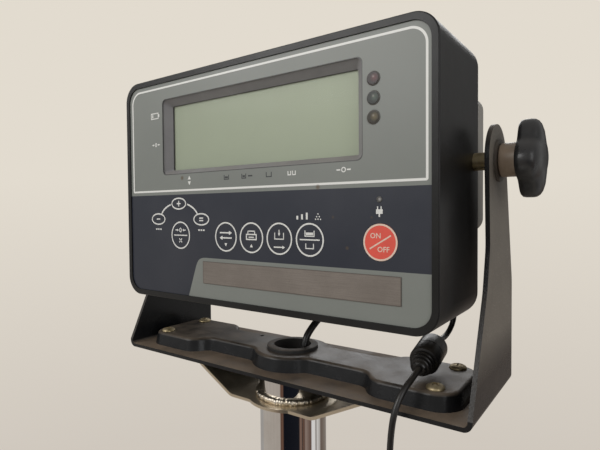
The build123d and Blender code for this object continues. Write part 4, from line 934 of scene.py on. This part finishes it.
def blank_plate():
    """Blank brown metal plate, finely brushed along its length, with a thin darker edge."""
    made = Finish("Blank plate", Metallic=0.35)
    height, lines = brushing(made.tree, (60.0, 2400.0, 5200.0))
    tone = blended(lines, paint(126, 118, 111), paint(152, 144, 136))
    tone = blended(mottle(made.tree, 60.0) * 0.3, tone, paint(106, 98, 91))
    tone = blended(grain(made.tree, 3000.0)[1] * 0.45, tone, paint(84, 77, 72))
    rim = spread(box_distance(*head_place(made.tree), *PLATE, 0.3), -0.5, -0.35)
    return made.feed((height, 0.00003, 0.5), Base_Color=blended(rim * 0.6, tone, paint(76, 68, 62)),
                     Roughness=spread(lines, 0.0, 1.0, 0.48, 0.36))


def display_glass(given):
    """Unlit grey-green glass with a plain surround, with painted shade to the lower left and painted light to the
    upper right.
    """
    made = Finish("Display glass", Specular_IOR_Level=0.3)
    across, rise = head_place(made.tree)
    edge = spread(box_distance(across, rise, *GLASS, 0.4), -0.15, 0.0)
    # Painted shade and light: the glass darker to the lower left and lighter to the upper right
    painted_light_slope = spread(across + rise * 1.5, -90.0, 160.0)
    rubbed = mottle(made.tree, 14.0, 0.3, 0.75)
    glass = blended(painted_light_slope, shade(given.glass, 0.9), shade(given.glass, 1.06))
    glass = blended(rubbed * 0.25, glass, shade(given.glass))
    return made.feed(Base_Color=blended(edge, glass, paint(98, 97, 92)),
                     Roughness=spread(rubbed, 0.0, 1.0, 0.3, 0.42))


def clear_window():
    """Clear plastic with a faint haze where it has been wiped."""
    made = Finish("Clear window", Specular_IOR_Level=0.5, IOR=1.46, Base_Color=paint(205, 206, 200))
    rubbed = mottle(made.tree, 24.0, 0.4, 0.85)
    made.made.blend_method = "BLEND"
    return made.feed(Alpha=spread(rubbed, 0.0, 1.0, 0.03, 0.06), Roughness=spread(rubbed, 0.0, 1.0, 0.05, 0.2))


def lamp_finish(node, tone, bright):
    """Unlit coloured lamp painted as a lit dome: painted shade towards its left and its rim, a painted lit heart off
    to the right, a painted glint above it, and a lighter grey ring at its rim.
    """
    low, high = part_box(node)
    x, z, radius = (low[0] + high[0]) / 2, (low[2] + high[2]) / 2, (high[0] - low[0]) / 2
    made = Finish(node.replace("_", " ").capitalize(), Roughness=0.25, Specular_IOR_Level=0.35)
    # Three spots: a painted lit heart off to the right, a painted highlight above the middle, and a lighter grey ring
    # at the rim
    painted_lit_heart, painted_glint, rim = (
        spot(made.tree, x + radius * right, z + radius * up, radius * size, radius * soft)
        for right, up, size, soft in ((0.22, 0.05, 0.7, 0.7), (0.05, 0.22, 0.24, 0.2), (0.0, 0.0, 0.93, 0.06)))
    colour = blended(painted_lit_heart, shade(paint(*tone), 0.4), paint(*bright))
    colour = blended(painted_glint * 0.45, colour, paint(176, 170, 164))
    return made.feed(Base_Color=blended(rim, paint(112, 110, 106), colour))


def circuit_board():
    """Green circuit board with pale tracks."""
    made = Finish("Circuit board")
    turned = run(made.tree, "ShaderNodeMapping", 0, {"Vector": place(made.tree), "Rotation": (math.pi / 2, 0, 0)})
    tracks = run(made.tree, "ShaderNodeTexBrick", "Color", {
        "Vector": turned, "Scale": 60.0, "Mortar Size": 0.03, "Color1": paint(24, 78, 48),
        "Color2": paint(30, 92, 56), "Mortar": paint(86, 140, 84)})
    patch = mottle(made.tree, 200.0)
    return made.feed(Base_Color=blended(patch * 0.2, tracks, paint(18, 60, 38)),
                     Roughness=spread(patch, 0.0, 1.0, 0.3, 0.45))


class Print:
    """Printed signs under work, at one depth on the head and measured in millimetres from one point on it."""

    def __init__(self, front, x=0.0, z=0.0):
        self.bm = bmesh.new()
        self.front, self.back = front, front + INK
        self.x, self.z = x, z

    def draw(self, signs):
        for kind, *sizes in signs:
            getattr(self, kind)(*sizes)
        return self.bm

    def shape(self, outline):
        slab(self.bm, [(self.x + x, self.z + z) for x, z in outline], self.front, self.back)

    def line(self, width, *points):
        """A line of the given width that follows points."""
        left, right = [], []
        for n, point in enumerate(points):
            before, after = points[max(n - 1, 0)], points[min(n + 1, len(points) - 1)]
            along = (Vector(after) - Vector(before)).normalized()
            normal = Vector((-along.y, along.x)) * width / 2
            left.append(Vector(point) + normal)
            right.append(Vector(point) - normal)
        self.shape(left + right[::-1])

    def ring(self, x, z, wide, tall, line, count):
        """An ellipse of the given half width and half height, open in its middle."""
        rows = [[self.bm.verts.new(at_head(self.x + x + (wide - inset) * math.cos(a), depth,
                                           self.z + z + (tall - inset) * math.sin(a))) for a in around(count)]
                for inset, depth in ((0, self.back), (0, self.front), (line, self.front), (line, self.back))]
        skin(self.bm, rows + rows[:1])

    def triangle(self, x, z, size, up):
        lift = size * 0.45 * up
        self.shape([(x - size / 2, z - lift), (x + size / 2, z - lift), (x, z + lift)])

    def arrow(self, start, end, width, tip):
        start, end = Vector(start), Vector(end)
        along = (end - start).normalized()
        side = Vector((-along.y, along.x))
        neck, half, barb = end - along * tip, side * width / 2, side * tip * 0.55
        self.shape([start + half, start - half, neck - half, neck - barb, end, neck + barb, neck + half])

    def frame(self, x, z, wide, tall, line):
        """A rectangle, open in its middle."""
        for side in (1, -1):
            level = z + side * (tall - line) / 2
            self.line(line, (x - wide / 2, level), (x + wide / 2, level))
        for side in (-1, 1):
            upright = x + side * (wide - line) / 2
            self.line(line, (upright, z - tall / 2 + line), (upright, z + tall / 2 - line))

    def zero(self, x, z, wide, tall, line):
        """A nought between two arrows that point at it."""
        self.ring(x, z, tall * 0.36, tall / 2, line, 28)
        for side in (-1, 1):
            self.arrow((x + side * wide / 2, z), (x + side * tall * 0.55, z), line, tall * 0.5)

    def tray(self, x, z, wide, tall, filled):
        """A small open container, full or empty."""
        line = 0.6
        low = z - tall / 2 + line
        self.line(line, (x - wide / 2, low - line / 2), (x + wide / 2, low - line / 2))
        for side in (-1, 1):
            upright = x + side * (wide - line) / 2
            self.line(line, (upright, low), (upright, z + tall / 2))
        if filled:
            self.line(wide - 2 * line - 0.7, (x, low + 0.35), (x, z + tall * 0.18))

    def word(self, x, z, text, height):
        """A word as thin solid letters."""
        curve = bpy.data.curves.new("word", "FONT")
        curve.body, curve.align_x, curve.align_y = text, "CENTER", "CENTER"
        curve.size, curve.offset, curve.resolution_u, curve.extrude = 1.0, 0.012, 2, 0.01
        holder = shown("word", curve)
        data = settled(holder)
        low, high = ([side(v.co[k] for v in data.vertices) for k in range(2)] for side in (min, max))
        tall = height / (high[1] - low[1])
        for v in data.vertices:
            v.co = at_head(self.x + x + (v.co.x - (low[0] + high[0]) / 2) * tall,
                           self.front + (0.0 if v.co.z > 0 else 0.04),
                           self.z + z + (v.co.y - (low[1] + high[1]) / 2) * tall)
        self.bm.from_mesh(data)
        bpy.data.objects.remove(holder)
        bpy.data.curves.remove(curve)
        bpy.data.meshes.remove(data)


# The signs beside the display and the keys: two arcs, a battery, a zero, arrows, trays, a level, bars, dots, dashes
# and a plug
WHITE_SIGNS = (
    *(("line", 1.1, *arc(-65.5, -22.6, 20.2, 11.6, start, end, 16)) for start, end in ((168, 116), (64, 12))),
    ("frame", -91.0, 54.0, 8.6, 4.6, 0.7), ("line", 2.07, (-86.7, 54.0), (-85.7, 54.0)),
    ("line", 2.2, (-93.9, 54.0), (-92.7, 54.0)), ("zero", -90.0, 32.5, 8.8, 3.0, 0.6),
    ("triangle", -54.0, 6.7, 3.0, 1), ("triangle", -54.0, 2.7, 3.0, -1),
    *(("tray", 35.5 + x, 5.2, 2.6, 2.6, False) for x in (-1.7, 1.7)),
    ("ring", 71.0, 5.2, 1.5, 1.5, 0.6, 28),
    *(("line", 0.8, (71.0 + 2.1 * side, 5.2), (71.0 + 4.5 * side, 5.2)) for side in (-1, 1)),
    *(("line", 1.3, (39.4 + 3.4 * n, -22.4), (39.4 + 3.4 * n, -20.2 + 0.9 * n)) for n in range(3)),
    *(("ring", x, z, 0.42, 0.42, 0.4, 14) for x, z in (
        (54.0, -19.2), (53.1, -20.7), (54.9, -20.7), (52.3, -22.2), (54.0, -22.2), (55.7, -22.2))),
    *(("line", 1.0, (x + step - 0.8, -30.2), (x + step + 0.8, -30.2))
      for x in (-88.3, -42.4) for step in (-2.4, 0.0, 2.4)),
    ("line", 2.4, (90.6, -18.0), (94.4, -18.0)),
    *(("line", 0.6, (92.5 + side, -16.8), (92.5 + side, -15.2)) for side in (-1, 1)),
    ("line", 0.8, (92.5, -19.2), (92.5, -20.8)))
DARK_SIGNS = (("tray", -18.0, 5.2, 4.6, 3.2, True), ("tray", -2.6, 5.2, 4.0, 3.2, True),
              ("line", 0.9, (1.0, 5.2), (4.6, 5.2)), ("tray", 18.0, 5.2, 4.6, 3.2, False))


class SCALE_OT_panel(bpy.types.Operator):
    """Finish the overlay, the display and the lamps, and print the panel's symbols"""
    bl_idname = "scale.panel"
    bl_label = "Front panel"

    def execute(self, context):
        given = context.scene.scale_panel
        dress(overlay(given), "keypad_overlay")
        dress(blank_plate(), "rating_plate")
        dress(surface("Display surround", (paint(126, 125, 127), paint(140, 139, 140)), (0.45, 0.55), patches=50.0,
                      grained=(1500.0, 0.00006), dusty=(40.0, 0.3, 0.02)), "display_frame")
        dress(display_glass(given), "lcd_module")
        self.pane()
        # Each lamp's dark tone, and the lighter tone of its painted lit heart
        for node, tone, bright in (
                ("lamp_high", (58, 36, 38), (98, 50, 52)), ("lamp_ok", (44, 52, 46), (70, 86, 74)),
                ("lamp_low", (70, 63, 46), (112, 100, 70)), ("charge_lamp", (132, 130, 128), (170, 168, 166))):
            dress(lamp_finish(node, tone, bright), node)
        dress(circuit_board(), "main_board")
        for name, signs, tone in (("white", WHITE_SIGNS, given.print_tone), ("dark", DARK_SIGNS, paint(58, 60, 62))):
            made = print_finish(name.capitalize() + " print", tone)
            keep_mesh("panel_signs_" + name, Print(PANEL_FACE).draw(signs), made, "head")
        return {"FINISHED"}

    def pane(self):
        """The clear pane, thin enough to stand off the display behind it."""
        low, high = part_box("display_window")
        corner = 1.5
        left, right = low[0] / MM + corner, high[0] / MM - corner
        bottom, top = low[2] / MM - HEAD.z + corner, high[2] / MM - HEAD.z - corner
        outline = []
        for x, z, start in ((right, top, 0), (left, top, 90), (left, bottom, 180), (right, bottom, 270)):
            outline += arc(x, z, corner, corner, start, start + 90, 5)
        bm = bmesh.new()
        slab(bm, outline, low[1] / MM - HEAD.y + 0.04, high[1] / MM - HEAD.y - 0.45)
        in_place_of(keep_mesh("clear_pane", bm, clear_window(), "head"), "display_window")


# ---- Keys

KEY_ROW = -34.2
# Each key's middle in head millimetres, and what is printed inside its ring
ROUND_KEYS = {
    "key_zero": (-63.9, KEY_ROW, (
        ("zero", 0.0, 3.7, 11.0, 3.4, 0.65), ("line", 0.75, (-7.0, 0.0), (7.0, 0.0)),
        ("line", 0.75, (-1.4, -2.3), (1.4, -5.1)), ("line", 0.75, (-1.4, -5.1), (1.4, -2.3)))),
    "key_unit": (-19.1, KEY_ROW, (
        ("arrow", (-5.4, 2.7), (5.6, 2.7), 0.9, 2.6), ("arrow", (5.4, -0.7), (-5.6, -0.7), 0.9, 2.6),
        ("triangle", 0.0, -5.3, 2.4, -1))),
    "key_print": (3.3, KEY_ROW, (
        ("frame", 0.0, 0.5, 9.0, 4.0, 0.8), ("line", 0.7, (-2.8, 4.2), (2.8, 4.2)),
        ("line", 0.7, (-2.8, 2.6), (-2.8, 4.4)), ("line", 0.7, (2.8, 2.6), (2.8, 4.4)),
        ("line", 0.7, (-2.2, 0.3), (2.2, 0.3)), ("triangle", 0.0, -5.0, 2.4, 1))),
    "key_tare": (25.7, KEY_ROW, (
        ("tray", 0.0, 1.6, 7.4, 4.2, False), ("arrow", (0.0, 5.4), (0.0, 1.6), 0.7, 1.7),
        ("arrow", (-4.2, -5.2), (4.4, -5.2), 0.75, 2.0))),
    "key_gross_net": (48.1, KEY_ROW, (
        ("tray", 0.0, 3.6, 7.0, 3.6, True), ("line", 0.75, (-7.0, 0.0), (7.0, 0.0)),
        ("tray", 0.0, -3.8, 6.0, 3.2, False))),
    "key_on_off": (92.9, KEY_ROW, (
        ("word", -2.7, 3.5, "ON", 2.9), ("word", 1.9, -3.7, "OFF", 2.9),
        ("line", 0.75, (-6.1, -3.6), (6.2, 3.7)))),
}
OVAL_KEYS = {
    "key_memory_add": (-65.5, -11.5, (
        ("line", 0.9, (-2.0, 0.0), (2.0, 0.0)), ("line", 0.9, (0.0, -0.45), (0.0, -2.0)),
        ("line", 0.9, (0.0, 0.45), (0.0, 2.0)))),
    "key_memory_subtract": (-88.3, -22.7, (("line", 0.9, (-2.0, 0.0), (2.0, 0.0)),)),
    "key_memory_recall": (-42.4, -22.7, (
        ("line", 0.8, (-2.0, -0.85), (2.0, -0.85)), ("line", 0.8, (-2.0, 0.85), (2.0, 0.85)))),
}


class ScaleKeys(bpy.types.PropertyGroup):
    """Printing on the keys."""
    rim: FloatProperty(name="Ring", description="Width of the ring printed round a key, in millimetres",
                       default=0.95, min=0.2)
    cream: tone_setting("Cream", "Colour of the print on the red key", 240, 214, 196)


class SCALE_OT_keys(bpy.types.Operator):
    """Finish the nine keys and print a ring and a plain sign on each"""
    bl_idname = "scale.keys"
    bl_label = "Keys"

    def execute(self, context):
        given, panel = context.scene.scale_keys, context.scene.scale_panel
        white = print_finish("White print", panel.print_tone)
        cream = print_finish("Cream print", given.cream)
        for keys, wide, tall, count in ((ROUND_KEYS, 9.85, 9.85, 96), (OVAL_KEYS, 7.85, 4.35, 72)):
            for name, (x, z, signs) in keys.items():
                red = name == "key_on_off"
                dress(self.cap("Red key cap", panel.red) if red else self.cap("Navy key cap", panel.navy), name)
                bm = Print(KEY_FACE, x, z).draw((("ring", 0.0, 0.0, wide, tall, given.rim, count), *signs))
                keep_mesh(name.replace("key_", "sign_"), bm, cream if red else white,
                                  name.replace("key_", "button_"))
        return {"FINISHED"}

    def cap(self, name, tone):
        """Domed film over a key, a little rubbed at its middle."""
        return surface(name, (shade(tone), shade(tone, 0.88)), (0.32, 0.42), patches=90.0,
                       grained=(2600.0, 0.00002), dusty=(200.0, 0.1, 0.02))


# ---- Yoke and column

class ScaleFrame(bpy.types.PropertyGroup):
    """Colours of the yoke, the column and the base."""
    paint_tone: tone_setting("Paint", "Colour of the painted steel", 20, 21, 23)
    dust_tone: tone_setting("Dust", "Colour of the dust that has settled", 112, 100, 87)
    dust_cover: FloatProperty(name="Dust cover", description="How much of the yoke's top the dust hides",
                              subtype="FACTOR", default=0.8, min=0, max=1)
    weld_size: FloatProperty(name="Weld", description="Size of one ripple of the weld, in metres",
                             subtype="DISTANCE", unit="LENGTH", default=0.0026, min=0.0005)


# The knobs' axis across the scale, as (y, z), and the weld's height and radius, in metres
KNOB_AXIS, WELD_HEIGHT, WELD_RADIUS = (0.264, 0.8495), 0.6915, 0.0246
# Where the yoke's screws sit, in millimetres: their height, and how far from the column's axis across and along
SCREW_SEAT, SCREW_ACROSS, SCREW_ALONG = 723.0, 112.9, 20.2


def yoke_paint(given):
    """Gloss-worn black paint with fine texture, dusty on top and greyer on the outsides of the arms."""
    made = Finish("Yoke paint", Specular_IOR_Level=0.26)
    tree = made.tree
    x, _, z = axes(tree)
    facing_x, _, facing_z = axes(tree, "Normal")
    patch = mottle(tree, 45.0, 0.3, 0.7)
    height, specks = grain(tree, 1100.0)
    colour = blended(patch, shade(given.paint_tone), shade(given.paint_tone, 1.3, 0.006))
    arms = spread(facing_x * worked("SIGN", x), 0.5, 0.9) * spread(z, 0.730, 0.752)
    film = arms * spread(patch, 0.0, 1.0, 0.62, 0.8)
    colour = blended(film, colour, paint(138, 131, 121))
    colour = blended(specks * 0.4 * arms, colour, paint(190, 182, 168))
    cover = dust(tree, 34.0, given.dust_cover, 0.01)
    colour = blended(cover, colour, shade(given.dust_tone))
    colour = blended(mottle(tree, 900.0, 0.5, 0.7) * (cover * 0.35), colour, paint(72, 64, 57))
    low_down = spread(facing_z, 0.8, 0.98) * spread(z, 0.7145, 0.716, 1.0, 0.0)
    settled_dirt = low_down * spread(mottle(tree, 70.0, 0.3, 0.62), 0.0, 1.0, 0.25, 0.85)
    rough = spread(patch, 0.0, 1.0, 0.2, 0.3)
    for share in (cover, film, settled_dirt):
        rough = rough + share * 0.3
    return made.feed((height, 0.00012, 0.5), Base_Color=blended(settled_dirt, colour, paint(126, 110, 94)),
                     Roughness=worked("MINIMUM", rough, 0.85))


def knob_moulding():
    """Satin black moulding, rubbed grey at its lobes and dusty on its hub."""
    made = Finish("Knob moulding", Specular_IOR_Level=0.5)
    tree = made.tree
    x, y, z = axes(tree)
    away = far(z - KNOB_AXIS[1], y - KNOB_AXIS[0])
    patch = mottle(tree, 120.0)
    colour = blended(patch, paint(22, 23, 25), paint(34, 34, 35))
    colour = blended(spread(away, 0.0165, 0.0212) * 0.25, colour, paint(66, 64, 64))
    hub = spread(away, 0.0102, 0.0112, 1.0, 0.0) * spread(abs(x), 0.1494, 0.1502, 1.0, 0.0)
    colour = blended(hub * spread(patch, 0.0, 1.0, 0.75, 0.95), colour, paint(172, 152, 132))
    return made.feed((grain(tree, 1500.0)[0], 0.00005, 0.4), Roughness=spread(patch, 0.0, 1.0, 0.26, 0.4),
                     Base_Color=blended(dust(tree, 90.0, 0.22, 0.02), colour, paint(84, 76, 68)))


class SCALE_OT_yoke(bpy.types.Operator):
    """Finish the yoke, its knobs, washers, nuts and grommet, and set its screws"""
    bl_idname = "scale.yoke"
    bl_label = "Yoke and knobs"

    def execute(self, context):
        given = context.scene.scale_frame
        dress(yoke_paint(given), "yoke_bracket")
        made = knob_moulding()
        self.knob("left", -1, made)
        self.knob("right", 1, made)
        dress(zinc(), "pivot_studs", "yoke_nuts")
        dress(surface("Nylon washer", (paint(70, 64, 58), paint(92, 85, 77)), (0.4, 0.55), patches=200.0,
                      grained=(1500.0, 0.00005)), "knob_washers")
        dress(surface("Grommet rubber", (paint(26, 26, 27), paint(40, 39, 38)), (0.5, 0.7), patches=150.0,
                      grained=(900.0, 0.00015), dusty=(160.0, 0.6, 0.05), dust_tone=shade(given.dust_tone)),
              "yoke_grommet")
        upright = (0.0, 0.0, 1.0)
        screw = truss_screw(5.3 * MM, 2.7 * MM, 2.5 * MM, 12.0 * MM, upright)
        set_screws("yoke_screw_heads", screw, upright,
                   [mm(x, COLUMN_Y + y, SCREW_SEAT) for x in (-SCREW_ACROSS, SCREW_ACROSS)
                    for y in (-SCREW_ALONG, SCREW_ALONG)],
                   [0.5, 1.2, 0.25, 1.0], zinc(), "stand", "yoke_screws")
        bpy.data.objects.remove(screw)
        return {"FINISHED"}

    def knob(self, hand, side, made):
        """A four-lobed knob with a domed face on a round hub, in place of the plainer one."""
        low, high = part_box("knob_" + hand)
        pivot = Vector((0.0, (low[1] + high[1]) / 2, (low[2] + high[2]) / 2))
        hub, length = 10.0, 23.0
        start = (low[0] if side > 0 else -high[0]) + hub * MM + max(0.0, high[0] - low[0] - length * MM)
        # Share of the lobed outline, or else a plain radius, and the distance from the hub's front
        rows = ((0.0, 0.0, -hub), (0.0, 8.4, -hub), (0.0, 9.3, -9.7), (0.0, 9.6, -9.0), (0.0, 9.6, -0.5),
                (0.0, 10.2, 0.0), (0.8, 0.0, 0.0), (0.93, 0.0, 0.4), (0.985, 0.0, 1.4), (1.0, 0.0, 3.2),
                (1.0, 0.0, 6.6), (0.985, 0.0, 8.2), (0.94, 0.0, 9.7), (0.86, 0.0, 10.9), (0.72, 0.0, 11.9),
                (0.5, 0.0, 12.6), (0.25, 0.0, 12.9), (0.0, 0.0, 13.0))
        bm = bmesh.new()
        rings = []
        for share, plain, along in rows:
            ring = []
            for angle in around(96) if share or plain else [0.0]:
                lobe = (0.5 + 0.5 * math.cos(4 * (angle - math.radians(8)))) ** 0.9
                radius = (plain or share * (16.4 + 5.1 * lobe)) * MM
                ring.append(bm.verts.new(pivot + Vector((side * (start + along * MM), radius * math.cos(angle),
                                                         radius * math.sin(angle)))))
            rings.append(ring)
        skin(bm, rings)
        in_place_of(keep_mesh("clamp_knob_" + hand, bm, made, "clamp_" + hand, 50), "knob_" + hand)


def polished_tube():
    """Mirror-bright polished tube with fine upright wipe marks and a few smudges."""
    made = Finish("Polished tube", Metallic=1.0)
    wiped = brushing(made.tree, (700.0, 700.0, 12.0))[1]
    smudge = mottle(made.tree, 22.0, 0.5, 0.8)
    tone = blended(smudge, paint(226, 224, 222), paint(206, 200, 194))
    return made.feed(Base_Color=blended(wiped * 0.25, tone, paint(190, 186, 182)),
                     Roughness=spread(smudge + wiped * 0.5, 0.0, 1.5, 0.03, 0.12))


def saddle_steel():
    """Brushed stainless steel with a straw tinge and some dust."""
    made = Finish("Saddle steel", Metallic=1.0)
    height, lines = brushing(made.tree, (1800.0, 60.0, 1800.0))
    patch = mottle(made.tree, 30.0, 0.35, 0.7)
    cover = dust(made.tree, 50.0, 0.3, 0.05)
    tone = blended(lines, paint(216, 204, 182), paint(196, 182, 158))
    tone = blended(patch * 0.4, tone, paint(196, 184, 168))
    return made.feed((height, 0.00003, 0.35), Base_Color=blended(cover, tone, paint(132, 118, 102)),
                     Metallic=1.0 - cover * 0.8, Roughness=spread(lines + patch, 0.0, 2.0, 0.28, 0.38))


def painted(given):
    """Textured black paint on the column's foot and the base."""
    return surface("Painted steel", (shade(given.paint_tone), shade(given.paint_tone, 1.3, 0.005)), (0.38, 0.52),
                   patches=25.0, grained=(900.0, 0.00016), dusty=(22.0, 0.4, 0.04), dust_tone=shade(given.dust_tone))


def weld_metal():
    """Bright weld with heat tint in straw and blue."""
    made = Finish("Weld", Metallic=1.0)
    heat = mottle(made.tree, 140.0, 0.3, 0.7)
    tone = blended(heat, paint(222, 214, 200), paint(196, 180, 152))
    return made.feed(Base_Color=blended(mottle(made.tree, 60.0, 0.4, 0.7) * 0.3, tone, paint(140, 138, 142)),
                     Roughness=spread(heat, 0.0, 1.0, 0.24, 0.4))


def weld_tree():
    """Overlapping ripples of metal round the tube."""
    def make(tree, given):
        hoop = run(tree, "GeometryNodeMeshCircle", 0, {"Vertices": given["Count"], "Radius": given["Radius"]})
        there = run(tree, "GeometryNodeTransform", 0, {"Geometry": hoop, "Translation": given["Centre"]})
        jitter = run(tree, "FunctionNodeRandomValue", 0, {
            "Min": (-0.0002, -0.0002, -0.0003), "Max": (0.0002, 0.0002, 0.0004), "Seed": 5},
            data_type="FLOAT_VECTOR")
        moved = run(tree, "GeometryNodeSetPosition", 0, {"Geometry": there, "Offset": jitter})
        blob = run(tree, "GeometryNodeMeshIcoSphere", 0, {"Radius": 1.0, "Subdivisions": 2})
        soft = run(tree, "GeometryNodeSetShadeSmooth", 0, {"Geometry": blob})
        # A plain number's least and most are this node's inputs 2 and 3, and its result is output 1
        size = run(tree, "FunctionNodeRandomValue", 1, {2: 0.93, 3: 1.05, "Seed": 9}, data_type="FLOAT")
        return run(tree, "GeometryNodeInstanceOnPoints", 0, {
            "Points": moved, "Instance": soft, "Scale": size * given["Size"]})
    return repeat_tree("Weld ripples", [("Centre", "Vector", (0, 0, 0)), ("Radius", "Float", 0.02),
                                        ("Count", "Int", 90), ("Size", "Float", 0.002)], make)


class SCALE_OT_column(bpy.types.Operator):
    """Finish the column, its foot and its saddle, and lay the weld"""
    bl_idname = "scale.column"
    bl_label = "Column"

    def execute(self, context):
        given = context.scene.scale_frame
        self.tube()
        dress(saddle_steel(), "column_saddle")
        dress(painted(given), "column_foot")
        dress(zinc(), "column_bolts")
        in_place_of(grown("column_weld", weld_tree(), {
            "Centre": (0.0, COLUMN_Y * MM, WELD_HEIGHT), "Radius": WELD_RADIUS, "Count": 240, "Size": given.weld_size,
            "Finish": weld_metal()}, "stand"), "column_collar")
        return {"FINISHED"}

    def tube(self):
        """The polished tube, turned finely enough for its reflections."""
        low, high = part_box("column_tube")
        radius, wall, edge = (high[0] - low[0]) / 2, 1.5 * MM, 0.3 * MM
        inner, bottom, top = radius - wall, low[2], high[2]
        bm = bmesh.new()
        lathe(bm, [(inner, bottom), (radius - edge, bottom), (radius, bottom + edge), (radius, top - edge),
                   (radius - edge, top), (inner, top), (inner, bottom)], (0.0, COLUMN_Y * MM, 0.0), (0, 0, 1), 160)
        in_place_of(keep_mesh("polished_tube", bm, polished_tube(), "stand", 40), "column_tube")


# ---- Base and pan

class ScaleBase(bpy.types.PropertyGroup):
    """Finishes under the pan."""
    rubber: tone_setting("Rubber", "Colour of the feet and cushions", 34, 34, 35)
    pan_tone: tone_setting("Pan", "Colour of the stainless pan", 206, 205, 201)


# Height where a foot's rubber ends and its stem starts, in metres, and the vial's middle, in millimetres
STEM, VIAL = (0.0119, 0.0121), (-51.0, 202.0)


def levelling_foot(given):
    """Rubber pad below, zinc-plated stem above."""
    made = Finish("Levelling foot")
    stem = spread(axes(made.tree)[2], *STEM)
    patch = mottle(made.tree, 110.0)
    pad = blended(patch, shade(given.rubber), shade(given.rubber, 1.5))
    metal = blended(patch, paint(168, 162, 146), paint(196, 190, 176))
    return made.feed((grain(made.tree, 900.0)[0], 0.00008, 0.4), Base_Color=blended(stem, pad, metal),
                     Metallic=stem, Roughness=spread(patch, 0.0, 1.0, 0.62, 0.76) - stem * 0.34)


def spirit_level():
    """Spirit level: green fluid with a bubble and a ring, in a dark body."""
    made = Finish("Spirit level", Coat_Weight=0.8, Coat_Roughness=0.04)
    x, y, _ = axes(made.tree)
    across, along = (worked("MULTIPLY_ADD", value, 1000.0, -at) for value, at in zip((x, y), VIAL))
    middle, bubble = far(across, along), far(across - 0.5, along + 0.4)
    tone = blended(spread(middle, 5.6, 5.75), paint(150, 190, 60), paint(30, 30, 31))
    tone = blended(spread(abs(middle - 2.5), 0.12, 0.2, 1.0, 0.0), tone, paint(28, 34, 20))
    tone = blended(spread(bubble, 1.75, 1.9, 1.0, 0.0), tone, paint(92, 128, 40))
    tone = blended(spread(bubble, 1.35, 1.6, 1.0, 0.0), tone, paint(210, 232, 150))
    return made.feed(Base_Color=tone, Roughness=spread(mottle(made.tree, 300.0), 0.0, 1.0, 0.12, 0.2))


class SCALE_OT_base(bpy.types.Operator):
    """Finish the base, the load cell, the stops, the vial and the feet"""
    bl_idname = "scale.base"
    bl_label = "Base"

    def execute(self, context):
        given = context.scene.scale_base
        dress(painted(context.scene.scale_frame), "base_frame", "pan_support")
        dress(surface("Load cell aluminium", (paint(188, 190, 192), paint(168, 170, 172)), (0.3, 0.42), 0.9,
                      brushed=((40.0, 2200.0, 2200.0), 0.00003), dusty=(40.0, 0.3, 0.02)), "load_cell")
        dress(dark_screw(), "load_cell_bolts")
        dress(zinc(), "overload_stops", "foot_locknuts")
        dress(surface("Cushion rubber", (shade(given.rubber), shade(given.rubber, 1.5)), (0.6, 0.75), patches=120.0,
                      grained=(1000.0, 0.0001), dusty=(80.0, 0.3, 0.03)), "pan_cushions")
        dress(levelling_foot(given), "foot_front_left", "foot_front_right", "foot_rear_left", "foot_rear_right")
        dress(spirit_level(), "level_vial")
        return {"FINISHED"}


class SCALE_OT_pan(bpy.types.Operator):
    """Finish the pan with long brush marks and light scratches"""
    bl_idname = "scale.pan"
    bl_label = "Pan"

    def execute(self, context):
        tone = context.scene.scale_base.pan_tone
        made = Finish("Brushed pan", Metallic=1.0)
        height, lines = brushing(made.tree, (1600.0, 14.0, 1600.0))
        scratches = brushing(made.tree, (26.0, 420.0, 420.0))[1]
        patch = mottle(made.tree, 10.0, 0.35, 0.7)
        colour = blended(lines, shade(tone), shade(tone, 0.78))
        dress(made.feed((height, 0.00004, 0.35), Base_Color=blended(patch * 0.2, colour, paint(188, 180, 168)),
                        Roughness=spread(lines + patch, 0.0, 2.0, 0.24, 0.4) + scratches * 0.05), "pan")
        return {"FINISHED"}


# ---- Sidebar and start

GROUPS = {"scale_stage": ScaleStage, "scale_leads": ScaleLeads, "scale_shell": ScaleShell,
          "scale_panel": ScalePanel, "scale_keys": ScaleKeys, "scale_frame": ScaleFrame, "scale_base": ScaleBase}
STEPS = (SCALE_OT_stage, SCALE_OT_connectors, SCALE_OT_leads, SCALE_OT_shell, SCALE_OT_panel, SCALE_OT_keys,
         SCALE_OT_yoke, SCALE_OT_column, SCALE_OT_base, SCALE_OT_pan)


class SCALE_PT_sidebar(bpy.types.Panel):
    """Everything that makes the scale's looks, in order"""
    bl_idname = "SCALE_PT_sidebar"
    bl_label = "Platform scale"
    bl_space_type = "VIEW_3D"
    bl_region_type = "UI"
    bl_category = "Scale"

    def draw(self, context):
        for step in STEPS:
            self.layout.operator(step.bl_idname)
        for name, group in GROUPS.items():
            box = self.layout.box()
            for label in group.__annotations__:
                box.prop(getattr(context.scene, name), label)


def register():
    for kind in (*GROUPS.values(), *STEPS, SCALE_PT_sidebar):
        bpy.utils.register_class(kind)
    for name, group in GROUPS.items():
        setattr(bpy.types.Scene, name, PointerProperty(type=group))


def unregister():
    for name in GROUPS:
        delattr(bpy.types.Scene, name)
    for kind in (SCALE_PT_sidebar, *reversed(STEPS), *reversed(GROUPS.values())):
        bpy.utils.unregister_class(kind)


def main():
    register()
    for step in STEPS:
        family, call = step.bl_idname.split(".")
        getattr(getattr(bpy.ops, family), call)()
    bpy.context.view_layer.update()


if __name__ == "__main__":
    main()
